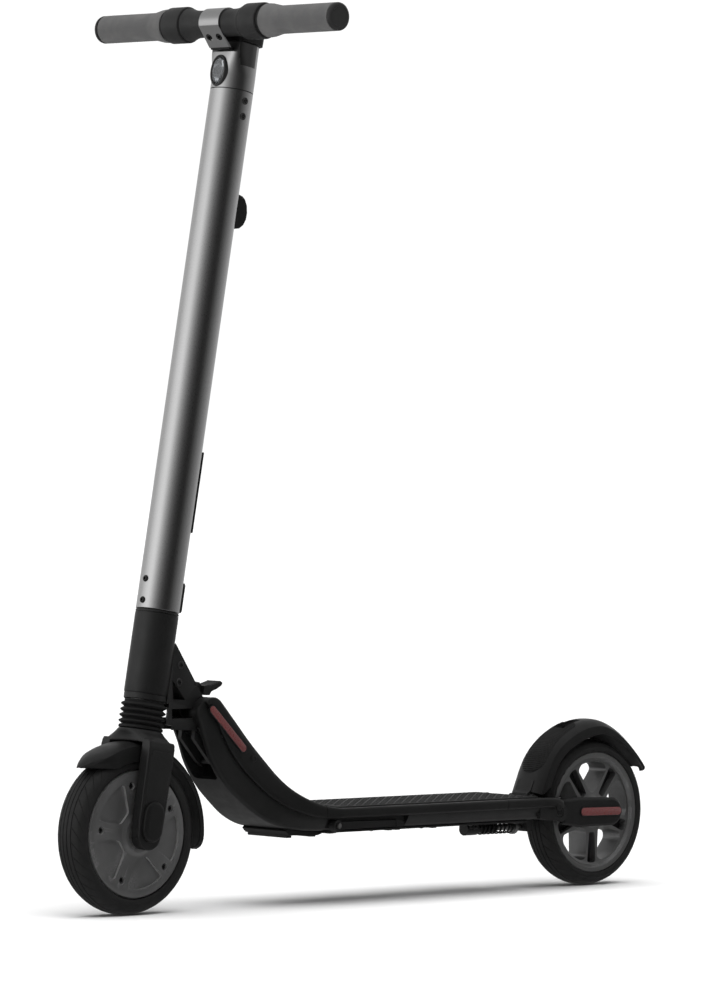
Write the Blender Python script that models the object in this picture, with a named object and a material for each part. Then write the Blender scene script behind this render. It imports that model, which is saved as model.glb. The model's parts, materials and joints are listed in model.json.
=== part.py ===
"""Folding electric kick scooter. Modelled in millimetres, +X forward, +Y rider's left, +Z up,
origin on the floor under the middle of its length; scaled to metres at the end."""
import math

import bmesh
import bpy
from mathutils import Matrix, Vector

for old in list(bpy.data.objects):
    bpy.data.objects.remove(old, do_unlink=True)

# ---------------------------------------------------------------- driving dimensions (mm)
LENGTH = 1020.0          # over the front tyre and the rear fender tip
FRONT_R = 100.0          # front tyre radius, 8 inch
REAR_R = 97.0            # rear tyre radius, 7.5 inch
WHEELBASE = 819.0
BAR_LENGTH = 430.0
BAR_HEIGHT = 1101.5      # handlebar centre above the floor
RAKE = math.radians(9.96)
STEM_R, STEM_WALL = 27.0, 2.5      # stem and head tube
STEM_INNER = STEM_R - STEM_WALL
RIM_R = 79.6             # both rims
TYRE_HALF = 22.0
DECK_TOP = 122.5         # under the mat
DECK_BOTTOM = 94.5
DECK_HALF = 62.0         # frame half width, without the side trims
NECK_HALF = 33.0
CLEAR = 0.4              # gap between fitted pieces

XF = LENGTH / 2 - FRONT_R                  # front axle
XR = XF - WHEELBASE                        # rear axle
HEAD_BOTTOM, HEAD_TOP = 165.0, 276.0       # along the steering axis, from the front axle
STEM_TOP = 931.5
HEAD_LIP, BLOCK_TOP = 977.0, 990.5         # squared front lip, and top of the block behind it
CROWN_TOP = 128.0
BAR_R, BAR_CORE, GRIP_R, COLLAR_R = 17.0, 12.6, 17.5, 22.8
BAR_U = 36.6                               # handlebar centre ahead of the steering axis
BAR_S = (BAR_HEIGHT - FRONT_R - BAR_U * math.sin(RAKE)) / math.cos(RAKE)
FOLD = (276.0, 220.0)                      # fold hinge, x and z
ARM = (-300.0, 103.0)                      # rear arm pivot
HINGE = (-291.5, 119.0)                    # fender hinge
PEDAL = (312.0, 282.0)                     # fold pedal pivot
STAND = (110.0, 60.0, 101.5)               # kickstand pivot
STAND_TOE_OUT = math.radians(8.0)
SHOCK_Z = 82.0
FORK_TRAVEL = 10.0
AXLE_BORE, PIVOT_BORE = 6.3, 6.4
MM = 0.001
SMOOTH_BELOW = math.radians(40.0)          # edges flatter than this are shaded smooth

STEM = Matrix.Translation((XF, 0, FRONT_R)) @ Matrix.Rotation(-RAKE, 4, "Y")
ALONG_Y = Matrix.Rotation(math.radians(-90), 4, "X")   # lathe axis to +Y
ALONG_X = Matrix.Rotation(math.radians(90), 4, "Y")    # lathe axis to +X

FINISHES = {   # colour, roughness, metallic
    "black_metal": ((0.035, 0.035, 0.037), 0.42, 0.2),
    "silver_metal": ((0.62, 0.63, 0.65), 0.30, 1.0),
    "grey_metal": ((0.16, 0.16, 0.165), 0.45, 0.5),
    "black_plastic": ((0.022, 0.022, 0.023), 0.48, 0.0),
    "tyre": ((0.018, 0.018, 0.018), 0.65, 0.0),
    "black_rubber": ((0.02, 0.02, 0.021), 0.70, 0.0),
    "grip_rubber": ((0.12, 0.12, 0.12), 0.70, 0.0),
    "steel": ((0.5, 0.5, 0.5), 0.35, 1.0),
    "reflector": ((0.3, 0.05, 0.05), 0.25, 0.0),
    "lens": ((0.75, 0.77, 0.8), 0.05, 0.0),
    "dark_window": ((0.01, 0.01, 0.012), 0.10, 0.0),
    "inner_unit": ((0.08, 0.08, 0.09), 0.55, 0.0),
}


def at(x=0.0, y=0.0, z=0.0):
    return Matrix.Translation((x, y, z))


def cross(point):
    """Lathe frame along +Y through an (x, z) point."""
    return at(point[0], 0, point[1]) @ ALONG_Y


BAR = STEM @ at(BAR_U, 0, BAR_S) @ ALONG_Y
FRONT_AXLE = cross((XF, FRONT_R))
REAR_AXLE = cross((XR, REAR_R))
BUTTON_TILT = math.atan2(9, 42.5)
BUTTON = STEM @ at(-4, 0, 1014.55) @ Matrix.Rotation(-BUTTON_TILT, 4, "Y")


# ---------------------------------------------------------------- helpers
def solid(name, verts, faces, matrix=None):
    mesh = bpy.data.meshes.new(name)
    mesh.from_pydata([tuple(v) for v in verts], [], faces)
    if matrix is not None:
        mesh.transform(matrix)
    bm = bmesh.new()
    bm.from_mesh(mesh)
    bmesh.ops.recalc_face_normals(bm, faces=bm.faces)
    if bm.calc_volume(signed=True) < 0:
        bmesh.ops.reverse_faces(bm, faces=bm.faces)
    bm.to_mesh(mesh)
    bm.free()
    obj = bpy.data.objects.new(name, mesh)
    bpy.context.scene.collection.objects.link(obj)
    return obj


def loft(name, rings, matrix=None):
    """Joins rings of equally many points and caps both ends."""
    n = len(rings[0])
    verts = [p for ring_points in rings for p in ring_points]
    faces = []
    for i in range(len(rings) - 1):
        a, b = i * n, (i + 1) * n
        for k in range(n):
            k2 = (k + 1) % n
            faces.append((a + k, a + k2, b + k2, b + k))
    faces.append(tuple(range(n - 1, -1, -1)))
    faces.append(tuple(range((len(rings) - 1) * n, len(rings) * n)))
    return solid(name, verts, faces, matrix)


def lathe(name, profile, segments, matrix=None):
    """Closed profile of (radius, height) turned about the height axis; radius 0 points make poles."""
    verts, index, faces = [], [], []
    for r, h in profile:
        if r <= 1e-6:
            index.append([len(verts)] * segments)
            verts.append((0, 0, h))
            continue
        index.append(list(range(len(verts), len(verts) + segments)))
        for k in range(segments):
            a = 2 * math.pi * k / segments
            verts.append((r * math.cos(a), r * math.sin(a), h))
    for i in range(len(profile)):
        a, b = index[i], index[(i + 1) % len(profile)]
        for k in range(segments):
            quad = [a[k], a[(k + 1) % segments], b[(k + 1) % segments], b[k]]
            face = [v for j, v in enumerate(quad) if v != quad[j - 1]]
            if len(set(face)) >= 3:
                faces.append(tuple(face))
    return solid(name, verts, faces, matrix)


def rod(name, r, h0, h1, segments, matrix=None):
    return lathe(name, [(0, h0), (r, h0), (r, h1), (0, h1)], segments, matrix)


def ring(name, r0, r1, h0, h1, segments, matrix=None):
    return lathe(name, [(r0, h0), (r1, h0), (r1, h1), (r0, h1)], segments, matrix)


def prism(name, outline, y0, y1, matrix=None):
    """Outline of (x, z) points extruded along y."""
    return loft(name, [[(x, y0, z) for x, z in outline], [(x, y1, z) for x, z in outline]], matrix)


def box(name, x0, x1, y0, y1, z0, z1, matrix=None):
    return prism(name, [(x0, z0), (x1, z0), (x1, z1), (x0, z1)], y0, y1, matrix)


def combine(a, b, operation):
    modifier = a.modifiers.new("join", "BOOLEAN")
    modifier.operation, modifier.solver, modifier.object = operation, "EXACT", b
    mesh = bpy.data.meshes.new_from_object(a.evaluated_get(bpy.context.evaluated_depsgraph_get()))
    a.modifiers.clear()
    a.data = mesh
    bpy.data.objects.remove(b, do_unlink=True)
    return a


def cut(a, *tools):
    for tool in tools:
        combine(a, tool, "DIFFERENCE")
    return a


def fuse(a, *others):
    for other in others:
        combine(a, other, "UNION")
    return a


def bore(obj, r, reach, matrix, segments=20):
    """Cuts a hole of radius r, reach mm to both sides, along a lathe frame's axis."""
    return cut(obj, rod("bore", r, -reach, reach, segments, matrix))


def arc(centre, r, a0, a1, n):
    points = []
    for i in range(n + 1):
        a = math.radians(a0 + (a1 - a0) * i / n)
        points.append((centre[0] + r * math.cos(a), centre[1] + r * math.sin(a)))
    return points


def capsule(p0, p1, r, n=8):
    """Outline of a slot shape between two centres."""
    a = math.degrees(math.atan2(p1[1] - p0[1], p1[0] - p0[0]))
    return arc(p1, r, a - 90, a + 90, n) + arc(p0, r, a + 90, a + 270, n)


def lerp(a, b, t):
    return a + (b - a) * t


def between(p, q, t):
    return (lerp(p[0], q[0], t), lerp(p[1], q[1], t))


def band(side, inner, outer):
    """The y limits of a piece on one side, in ascending order."""
    return sorted((side * inner, side * outer))


def squarish(s, u0, u1, half, n=24, power=2.2):
    """A superellipse around the steering axis at height s."""
    centre, reach = (u0 + u1) / 2, (u1 - u0) / 2
    points = []
    for k in range(n):
        c, d = math.cos(2 * math.pi * k / n), math.sin(2 * math.pi * k / n)
        u = centre + reach * math.copysign(abs(c) ** (2 / power), c)
        points.append((u, half * math.copysign(abs(d) ** (2 / power), d), s))
    return points


def coil(name, radius, wire, turns, per_turn, sides, h0, h1, matrix):
    """A helical spring of round wire between heights h0 and h1."""
    rings = []
    for i in range(turns * per_turn + 1):
        a = 2 * math.pi * i / per_turn
        h = lerp(h0, h1, i / (turns * per_turn))
        section = []
        for k in range(sides):
            b = 2 * math.pi * k / sides
            r = radius + wire * math.cos(b)
            section.append((r * math.cos(a), r * math.sin(a), h + wire * math.sin(b)))
        rings.append(section)
    return loft(name, rings, matrix)


SIDES = ((1, "left"), (-1, "right"))


# ---------------------------------------------------------------- neck and deck frame
# Side view of the neck: a rounded end, then upper and lower points with half widths.
END, END_R, SLOPE = (300.0, 247.0), 19.0, math.radians(47.0)
NECK_LINE = [
    ((262.0, 234.8), (303.0, 210.0), NECK_HALF, 28.0),
    ((238.0, 209.8), (289.0, 180.5), NECK_HALF, 30.0),
    ((216.0, 187.5), (267.0, 152.5), 35.0, 32.0),
    ((194.0, 165.0), (241.0, 130.5), 39.0, 35.0),
    ((176.0, 149.5), (215.0, 113.0), 44.5, 39.0),
    ((156.0, 137.0), (186.0, 101.0), 52.0, 43.0),
    ((134.0, 128.0), (154.0, 96.0), 58.0, 48.0),
    ((108.0, DECK_TOP + 0.8), (118.0, DECK_BOTTOM), DECK_HALF - 0.8, 51.0),
    ((84.0, DECK_TOP), (86.0, DECK_BOTTOM), DECK_HALF, 52.0),
    ((-274.0, DECK_TOP), (-274.0, DECK_BOTTOM), DECK_HALF, 52.0),
]


def neck_stations():
    """Upper point, lower point and half widths, from the rounded end to the rear of the deck."""
    along = Vector((math.cos(SLOPE), math.sin(SLOPE)))
    across = Vector((-math.sin(SLOPE), math.cos(SLOPE)))
    stations = []
    for degrees in (72, 48, 24, 0):
        a = math.radians(degrees)
        middle = Vector(END) + along * END_R * math.sin(a)
        half = across * END_R * math.cos(a)
        stations.append((tuple(middle + half), tuple(middle - half), NECK_HALF, NECK_HALF - 3))
    return stations + NECK_LINE


def build_frame():
    rings = []
    for top, bottom, w_top, w_bottom in neck_stations():
        m = between(top, bottom, 0.5)
        right = [(top[0], -w_top, top[1]), (m[0], -w_top, m[1]), (bottom[0], -w_bottom, bottom[1])]
        rings.append(right + [(x, -y, z) for x, y, z in reversed(right)])
    frame = loft("neck_and_deck_frame", rings)
    lug = [(-262, 96), (-262, 120.5), (-300, 118)] + arc(ARM, 13, 90, 250, 6)[1:]
    for side, _ in SIDES:
        fuse(frame, prism("lug", lug, *band(side, 55.5, DECK_HALF - 0.5)))
    # Electronics bay, open below; the slot for the fold bracket; the latch recess in front
    cut(frame, box("bay", -252, 150, -45, 45, 60, DECK_TOP - 5))
    slot = arc(FOLD, 17.5, 220, 360, 6) + [(340, 222), (350, 300), (230, 300), (230, 212)]
    cut(frame, prism("slot", slot, -19, 19))
    recess = [(340, 225), (262, 228)] + arc((272, 188), 15, 170, 262, 5) + [(310, 150)]
    cut(frame, prism("recess", recess, -19, 19))
    bore(frame, PIVOT_BORE, 70, cross(FOLD))
    bore(frame, PIVOT_BORE, 80, cross(ARM))
    cut(frame, box("stand_recess", -20, 122, 53.5, 80, 80, 110.0))
    rod("fold_pivot_pin", 6.0, -32.5, 32.5, 16, cross(FOLD))
    rod("rear_arm_pivot_pin", 6.0, -61, 61, 16, cross(ARM))


def build_deck_covers():
    top = DECK_BOTTOM - CLEAR
    cover = box("deck_bottom_cover", -250, 118, -49, 49, 91.4, top)
    skid = [(110, 91.4), (110, top), (119, top), (152, 95.2), (165, 97.4), (173, 98.6), (176, 95.5),
            (170, 90.0), (120, 88.5)]
    fuse(cover, prism("skid", skid, -40, 40))
    for x, low in ((166, 86.6), (124, 86.6), (92, 89.2), (-12, 89.2), (-26, 89.2), (-92, 89.2)):
        fuse(cover, box("foot", x - 4, x + 4, -36, 36, low, 92.5))
    box("control_unit", -40, 110, -38, 38, DECK_BOTTOM + 1.5, DECK_TOP - 8)
    mat_line = [(-262, DECK_TOP, 57), (84, DECK_TOP, 57), (108, DECK_TOP + 0.8, 56), (134, 128.0, 52),
                (150, 134.2, 47)]
    rings = []
    for x, z, w in mat_line:
        low, high = z + CLEAR, z + 3.2
        rings.append([(x, -w, low), (x, w, low), (x, w - 1, high), (x, -w + 1, high)])
    loft("deck_mat", rings)


def build_side_trims():
    """A band along both sides, from the neck's rounded end to the rear of the deck."""
    depths = [0.5] * 4 + [0.56, 0.56, 0.54, 0.52, 0.5, 0.48, 0.47, 0.46, 0.45, 0.45, 0.47, 0.55]
    tail = [((-292.0, DECK_TOP - 0.6), (-292.0, DECK_BOTTOM), DECK_HALF, 52.0),
            ((-303.0, DECK_TOP - 5), (-303.0, DECK_BOTTOM + 6), DECK_HALF, 52.0)]
    proud = 6.0                            # how far the band stands out from the frame
    for side, tag in SIDES:
        rings = []
        for (top, bottom, w, _), depth in zip(neck_stations() + tail, depths):
            over = 0.45 if w < DECK_HALF - 1 else 0.78
            length = math.dist(top, bottom)
            t = between(top, bottom, -over / length)
            m = between(top, bottom, depth - 0.03)
            upper, lower = between(t, m, 0.2), between(t, m, 0.85)
            inner, outer = w + CLEAR, w + proud
            section = [(t, inner), (t, outer - 2.5), (upper, outer), (lower, outer), (m, outer - 2.0),
                       (m, inner)]
            rings.append([(p[0], side * y, p[1]) for p, y in section])
        loft("side_trim_" + tag, rings)
        lens = capsule((303.0, 251.0), (250.5, 202.0), 4.6, 6)
        prism("neck_reflector_" + tag, lens, *band(side, NECK_HALF + 6.3, NECK_HALF + 7.6))


def build_kickstand():
    """On the left side, folded up."""
    pivot = at(*STAND) @ Matrix.Rotation(STAND_TOE_OUT, 4, "Z") @ ALONG_Y
    rod("kickstand_pivot_pin", 3.5, -5.8, 8.6, 12, pivot)
    stand = ring("kickstand", 4.0, 7.4, -4.4, 5.6, 16, pivot)
    leg = [(104.8, 97.0), (104.8, 106.4), (60, 105.8), (2, 104.8), (-6, 103), (-10, 98.5), (-4, 96.6),
           (20, 96.6)]
    fuse(stand, prism("leg", leg, 56.6, 64.4))


# ---------------------------------------------------------------- rear arm, covers and shock
def build_rear_arm():
    arm = rod("rear_arm", 12.0, -54.6, 54.6, 20, cross(ARM))
    blade = [(-303, 93.5), (-303, 113.5), (-330, 114)] + arc((XR, REAR_R + 1.5), 15, 78, 282,
                                                             8) + [(-330, 90)]
    ear = [(-306, 108)] + arc(HINGE, 5.5, 200, -20, 8) + [(-290, 104)]
    lever = [(-308.5, 100), (-293, 100), (-288.5, 88), (-288.5, 75.5), (-298.8, 75.5), (-298.8, 90),
             (-303, 94)]
    for side, _ in SIDES:
        fuse(arm, prism("blade", blade, *band(side, 29.5, 46.0)))
    fuse(arm, prism("lever", lever, -12, 12))
    for side, _ in SIDES:
        fuse(arm, prism("ear", ear, *band(side, 15, 21)))
    bore(arm, 6.6, 60, cross(ARM))
    bore(arm, AXLE_BORE, 60, REAR_AXLE, 16)
    bore(arm, 3.3, 30, cross(HINGE), 12)
    cut(arm, rod("bore", 3.5, -320, -280, 12, at(0, 0, SHOCK_Z) @ ALONG_X))
    nut = [(0, -50.5), (8, -50.5), (8, -46.4), (6, -46.4), (6, 46.4), (8, 46.4), (8, 50.5), (0, 50.5)]
    lathe("rear_axle", nut, 16, REAR_AXLE)
    rod("fender_hinge_pin", 3.0, -22, 22, 12, cross(HINGE))


def build_rear_arm_covers():
    outline = [(-313, 86.5), (-314.5, 95), (-316, 103), (-315, 112), (-313, 118.5), (-345, 120.5)]
    outline += arc((XR, REAR_R + 3.0), 18.5, 85, 275, 10) + [(-345, 81.5)]
    face = [(lerp(x, -368, 0.045), lerp(z, 100.5, 0.16)) for x, z in outline]
    for side, tag in SIDES:
        sections = ((46.4, outline), (51.5, outline), (54.0, face))
        cover = loft("rear_arm_cover_" + tag, [[(x, side * y, z) for x, z in points] for y,
                                               points in sections])
        cut(cover, rod("nut_recess", 9.5, *band(side, 40, 51.2), 16, REAR_AXLE))
        prism("tail_reflector_" + tag, capsule((-352, 101.5), (-418, 100.5), 5.2, 6),
              *band(side, 54.4, 55.8))


def build_rear_shock():
    """Body, spring and rod under the deck; the rod is pulled out as the arm swings up."""
    line = at(0, 0, SHOCK_Z) @ ALONG_X
    barrel = [(0, -182), (8.5, -182), (8.5, -204), (6.4, -204), (6.4, -240), (4.6, -240), (4.6, -208),
              (0, -208)]
    body = lathe("rear_shock_body", barrel, 20, line)
    fuse(body, box("foot", -200, -184, -10, 10, 83, 91.1))
    wire = 1.1
    coil("rear_shock_spring", 8.0, wire, 8, 10, 4, -205.8 - wire, -268.5 + wire, line)
    piston = [(0, -214), (4.2, -214), (4.2, -270.5), (10, -270.5), (10, -275.5), (2.8, -278), (2.8, -299.4)]
    lathe("rear_shock_rod", piston + [(6, -299.4), (6, -303), (0, -303)], 20, line)


# ---------------------------------------------------------------- wheels
def tyre_profile(r, inner, half):
    side = [(inner, half - 1.5), (inner + 5, half + 0.8), (r - 8, half - 1.2), (r - 2.5, half * 0.62)]
    return [(radius, -h) for radius, h in side] + [(r, 0)] + side[::-1]


def both_sides(profile):
    """A profile of (radius, height) with height above 0, mirrored to the other side."""
    return [(r, -h) for r, h in profile] + profile[::-1]


def build_front_wheel():
    lathe("front_tyre", tyre_profile(FRONT_R, RIM_R + CLEAR, TYRE_HALF), 48, FRONT_AXLE)
    motor = [(6.5, 26), (22, 26), (27, 23.5), (70, 23.0), (77, 21.5), (RIM_R, 19)]
    lathe("front_hub_motor", both_sides(motor), 40, FRONT_AXLE)
    rod("front_axle", 6.0, -44.8, 44.8, 16, FRONT_AXLE)


def build_rear_wheel():
    lathe("rear_tyre", tyre_profile(REAR_R, RIM_R + CLEAR, TYRE_HALF), 48, REAR_AXLE)
    hub = [(6.6, 24), (17, 24), (19, 19), (24, 9), (67, 9), (70, 18.5), (74, 20.5), (RIM_R, 20.5)]
    wheel = lathe("rear_wheel", both_sides(hub), 40, REAR_AXLE)
    window = [(28, 3), (56, 24), (61, 22), (64.5, 0), (61, -22), (56, -24), (28, -3)]
    for i in range(5):
        a = math.radians(90 + 72 * i)
        turned = [(r * math.cos(a) - t * math.sin(a), r * math.sin(a) + t * math.cos(a)) for r, t in window]
        cut(wheel, prism("window", turned, -20, 20, at(XR, 0, REAR_R)))


# ---------------------------------------------------------------- rear fender, the foot brake
FENDER_LINE = [(-291.5, 128.0), (-297.5, 142.0), (-304.5, 157.5), (-313.0, 172.5), (-324.0, 186.0),
               (-338.0, 197.5),
               (-354.0, 206.5), (-371.0, 213.5), (-388.0, 218.2), (-406.0, 220.3), (-423.0,
                                                                                    218.8), (-440.0, 213.2),
               (-456.0, 204.7), (-472.0, 193.0), (-488.0, 179.3), (-501.0, 166.0), (-LENGTH / 2, 155.0)]


def outward(path, i):
    """Unit vector in the side view, square to a path and pointing away from the wheel."""
    before, after = path[max(i - 1, 0)], path[min(i + 1, len(path) - 1)]
    length = math.dist(before, after)
    return ((after[1] - before[1]) / length, -(after[0] - before[0]) / length)


def shell_section(half, drop, thick):
    """Half-round mudguard section: outer points then inner points, as (y, height)."""
    outer = [(-half, -drop), (-half * 0.98, -9), (-half * 0.76, -3.4), (-half * 0.4, -0.8), (0, 0)]
    outer += [(-y, h) for y, h in outer[-2::-1]]
    inner = [(y * (half - 2.3) / half, max(h - thick, -drop)) for y, h in reversed(outer)]
    return outer + inner


def build_rear_fender():
    last = len(FENDER_LINE) - 1
    rings = []
    for i, (x, z) in enumerate(FENDER_LINE):
        nx, nz = outward(FENDER_LINE, i)
        narrow = {last: 0.7, last - 1: 0.92}.get(i, 1.0)
        drop = 11.0 if i == 0 else 22.0 - 1.4 * max(0, i - 8)
        section = shell_section(27.5, drop, 2.6)
        rings.append([(x + nx * h, y * narrow, z + nz * h) for y, h in section])
    fender = loft("rear_fender", rings)
    knuckle = arc(HINGE, 5.8, 180, 360, 8) + [(-286.6, 126.0), (-292.5, 129.0), (-298.3, 142.5),
                                              (-303.0, 141.0)]
    fuse(fender, prism("knuckle", knuckle + [(-299.5, 128.0)], -14, 14))
    bore(fender, 3.3, 30, cross(HINGE), 12)
    cut(fender, box("latch", -393, -358.5, -7.5, 7.5, 190, 240))


def build_foot_pad():
    rings = []
    for i in range(2, 7):
        nx, nz = outward(FENDER_LINE, i)
        x, z = FENDER_LINE[i]
        section = ((-15, -0.4), (-14, 2.6), (0, 3.8), (14, 2.6), (15, -0.4), (8, 0.2), (0, 0.5), (-8, 0.2))
        rings.append([(x + nx * h, y, z + nz * h) for y, h in section])
    loft("foot_brake_pad", rings)


# ---------------------------------------------------------------- head tube, fold bracket and pedal
def build_fold():
    ring("head_tube", 21.3, STEM_R, HEAD_BOTTOM, HEAD_TOP, 40, STEM)
    cheek = [(347, 333), (298, 263), (290, 246), (263.5, 228)] + arc(FOLD, 14.5, 150, 300, 6)
    cheek += [(310, 224.5), (345, 226), (372, 226), (372, 262), (362, 333)]
    bracket = prism("fold_bracket", cheek, -18, 18)
    cut(bracket, rod("tube", STEM_R + CLEAR, HEAD_BOTTOM - 2, 300, 40, STEM))
    cut(bracket, rod("bellows_room", STEM_R + 3.5, 60, HEAD_BOTTOM + 0.5, 40, STEM))
    cut(bracket, rod("crown_room", 41, 60, CROWN_TOP + FORK_TRAVEL + 1.5, 40, STEM))
    cut(bracket, prism("window", [(352, 288), (330, 263), (350, 263.5)], -30, 30))
    cut(bracket, prism("window", [(352, 252), (314, 252), (306, 240), (352, 240)], -30, 30))
    cut(bracket, box("hollow", 300, 380, -12, 12, 222, 262))
    bore(bracket, PIVOT_BORE, 30, cross(FOLD))
    cut(bracket, prism("pedal_slot", [(322, 270), (322, 296), (280, 296), (280, 262), (300, 262)], -7.5,
                       7.5))
    bore(bracket, 2.9, 30, cross(PEDAL), 12)
    # Latch tongue: two plates and a cross bar that reach down into the neck's recess
    plate = [(309, 228), (300, 236), (290, 222), (286, 212), (268, 192), (268, 180.5), (274, 177.5),
             (284, 184.5), (311, 214)]
    for side, _ in SIDES:
        fuse(bracket, prism("plate", plate, *band(side, 9, 15)))
    fuse(bracket, rod("latch_bar", 3.5, -12, 12, 12, cross((274.5, 184.5))))


def build_fold_pedal():
    pedal = prism("fold_pedal", arc(PEDAL, 5.0, -60, 60, 6) + [(296, 283.5), (292, 278.5), (292, 271)], -7,
                  7)
    tread = [(293.5, 279.5), (282, 279.6), (272, 281.6), (265.5, 283.8), (263.0, 283.2), (262.6, 280.8),
             (265, 278.4), (273, 274.6), (281, 272), (284, 267.6), (289.5, 267.4), (294.5, 270.5)]
    fuse(pedal, prism("tread", tread, -13, 13))
    fuse(pedal, rod("pin", 2.5, -18.6, 18.6, 12, cross(PEDAL)))


# ---------------------------------------------------------------- steering: steerer, stem and what is on it
def stem_panel(name, s0, s1, half_degrees, n=8):
    """Curved panel on the rear of the stem."""
    outline = []
    for r, order in ((STEM_R + 3.0, range(n + 1)), (STEM_R + CLEAR, range(n, -1, -1))):
        for k in order:
            a = math.radians(180 - half_degrees + 2 * half_degrees * k / n)
            outline.append((r * math.cos(a), r * math.sin(a)))
    return loft(name, [[(u, v, s) for u, v in outline] for s in (s0, s1)], STEM)


def build_stem():
    steerer = [(15.1, 158.5), (20.8, 158.5), (20.8, 276.6), (24.1, 277.6), (24.1, 302), (15.1, 302)]
    lathe("steerer_tube", steerer, 24, STEM)
    ring("stem_tube", STEM_INNER, STEM_R, HEAD_TOP + 0.8, STEM_TOP, 40, STEM)
    rod("battery_pack", 21.5, 320, 880, 24, STEM)
    stem_panel("battery_connector_cover", 379, 480, 34)
    round_stem = STEM_R + CLEAR
    port = prism("charge_port", [(-29.4, 279), (-29.4, 316), (-15, 316), (-15, 279)], -11, 11, STEM)
    cut(port, rod("tube", round_stem, 260, 330, 48, STEM))
    cut(port, rod("socket", 5, -60, -27.9, 16, STEM @ at(0, 0, 297) @ ALONG_X))
    prism("charge_port_flap", [(-29.8, 280), (-29.8, 315), (-31.4, 314), (-31.4, 281)], -10.5, 10.5, STEM)
    nose = [(-15, 764), (-32, 764), (-41, 766.5), (-47, 772), (-50.3, 780), (-50.6, 788), (-48.5, 797),
            (-44, 804)]
    hook = prism("stem_hook", nose + [(-39, 807), (-33, 808), (-15, 808)], -5, 5, STEM)
    cut(hook, rod("tube", round_stem, 740, 830, 48, STEM))


def ellipse(a, b, h, n=24):
    return [(-a * math.sin(2 * math.pi * k / n), b * math.cos(2 * math.pi * k / n), h) for k in range(n)]


def build_head():
    """The stem's head squares up towards a front lip; above it only the block behind the clamp goes on."""
    rings = [squarish(STEM_TOP + 0.5, -27, 27, 27, power=2.0), squarish(955, -27, 27, 27, power=2.0),
             squarish(966, -27, 26.2, 26.4, power=2.7), squarish(HEAD_LIP, -26.5, 25, 25.6, power=4.0),
             squarish(BLOCK_TOP, -26, 27, 25.4, power=4.2)]
    head = loft("stem_head", rings, STEM)
    cut(head, prism("gap", [(20.5, HEAD_LIP), (60, HEAD_LIP), (60, 1010), (20.5, 1010)], -40, 40, STEM))
    lamp = STEM @ at(0, 0, 952.8) @ ALONG_X
    cut(head, loft("pocket", [ellipse(20.2, 13.8, 15), ellipse(20.2, 13.8, 70)], lamp))
    lens_rings = [ellipse(19.8, 13.3, 15.4), ellipse(19.8, 13.3, 24.5), ellipse(18.0, 11.8, 27.6)]
    lens_rings.append(ellipse(10, 6, 28.8))
    loft("headlight_lens", lens_rings, lamp)


def build_display():
    """Housing behind the bar, with its window and button."""
    low = squarish(992.2, -26, 18.5, 25.5, 20, 3.6)
    middle = squarish(1004, -26.5, 18.0, 25.5, 20, 3.6)
    top = [(u, v, s + 9 * (u + 25.5) / 42.5) for u, v, s in squarish(1010, -25.5, 17.0, 25, 20, 3.6)]
    housing = loft("display_housing", [low, middle, top], STEM)
    bore(housing, BAR_R + 0.6, 60, BAR, 40)
    cut(housing, rod("button_well", 5.2, -6, 8, 20, BUTTON @ at(-14, 0, 0)))
    cut(housing, box("window_well", -7, 16, -17, 17, -1.2, 8, BUTTON))
    box("display_window", -6.5, 15.5, -16.5, 16.5, -0.7, 0.8, BUTTON)
    rod("power_button", 4.8, -3.4, 1.6, 20, BUTTON @ at(-14, 0, 0))


def build_bar():
    core = [(0, 209), (BAR_CORE, 209), (BAR_CORE, 53.6), (BAR_R, 53.6)]
    lathe("handlebar", [(r, -h) for r, h in core] + core[::-1], 24, BAR)
    centre = (BAR_U, BAR_S)
    wrap = arc(centre, 19.0, 100, -10, 10) + [(31.5, 981.0), (27.3, 981.6)]
    wrap += arc(centre, BAR_R + CLEAR, -58, 100, 12)
    prism("bar_clamp", wrap, -17.8, 17.8, STEM)
    for side, tag in SIDES:
        flip = BAR if side > 0 else BAR @ Matrix.Scale(-1, 4, (0, 0, 1))
        collar = [(13.0, 54), (19.5, 54), (COLLAR_R, 57.5), (COLLAR_R, 84.6), (13.0, 84.6)]
        lathe("control_collar_" + tag, collar, 24, flip)
        grip = [(13.0, 89.4), (21.0, 89.4), (20.6, 100), (GRIP_R, 114), (GRIP_R, 208), (13.0, 208)]
        lathe("grip_" + tag, grip, 24, flip)
        end = BAR_LENGTH / 2
        lathe("bar_end_cap_" + tag, [(0, 209.4), (GRIP_R, 209.4), (GRIP_R, 213.2), (15, end), (0, end)],
              24, flip)


def build_levers():
    """Thumb levers behind the bar: a ring between collar and grip, with a paddle."""
    paddle = [(-16, 4), (-24, 5), (-44, 1), (-46.5, -2.5), (-43, -4), (-24, -2), (-15, -3)]
    tip = [(-24.5, 4.7), (-44, 1), (-46.5, -2.5), (-43, -4), (-25.5, -2.2)]
    for side, name in ((1, "brake_lever"), (-1, "throttle_lever")):
        thin, wide = band(side, 85.2, 88.8), band(side, 85.2, 104)
        lever = ring(name, 13.2, 20.0, *thin, 28, BAR)
        fuse(lever, prism("paddle", [(BAR_U + u, BAR_S + s) for u, s in paddle], *thin, STEM))
        fuse(lever, prism("tip", [(BAR_U + u, BAR_S + s) for u, s in tip], *wide, STEM))


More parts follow.
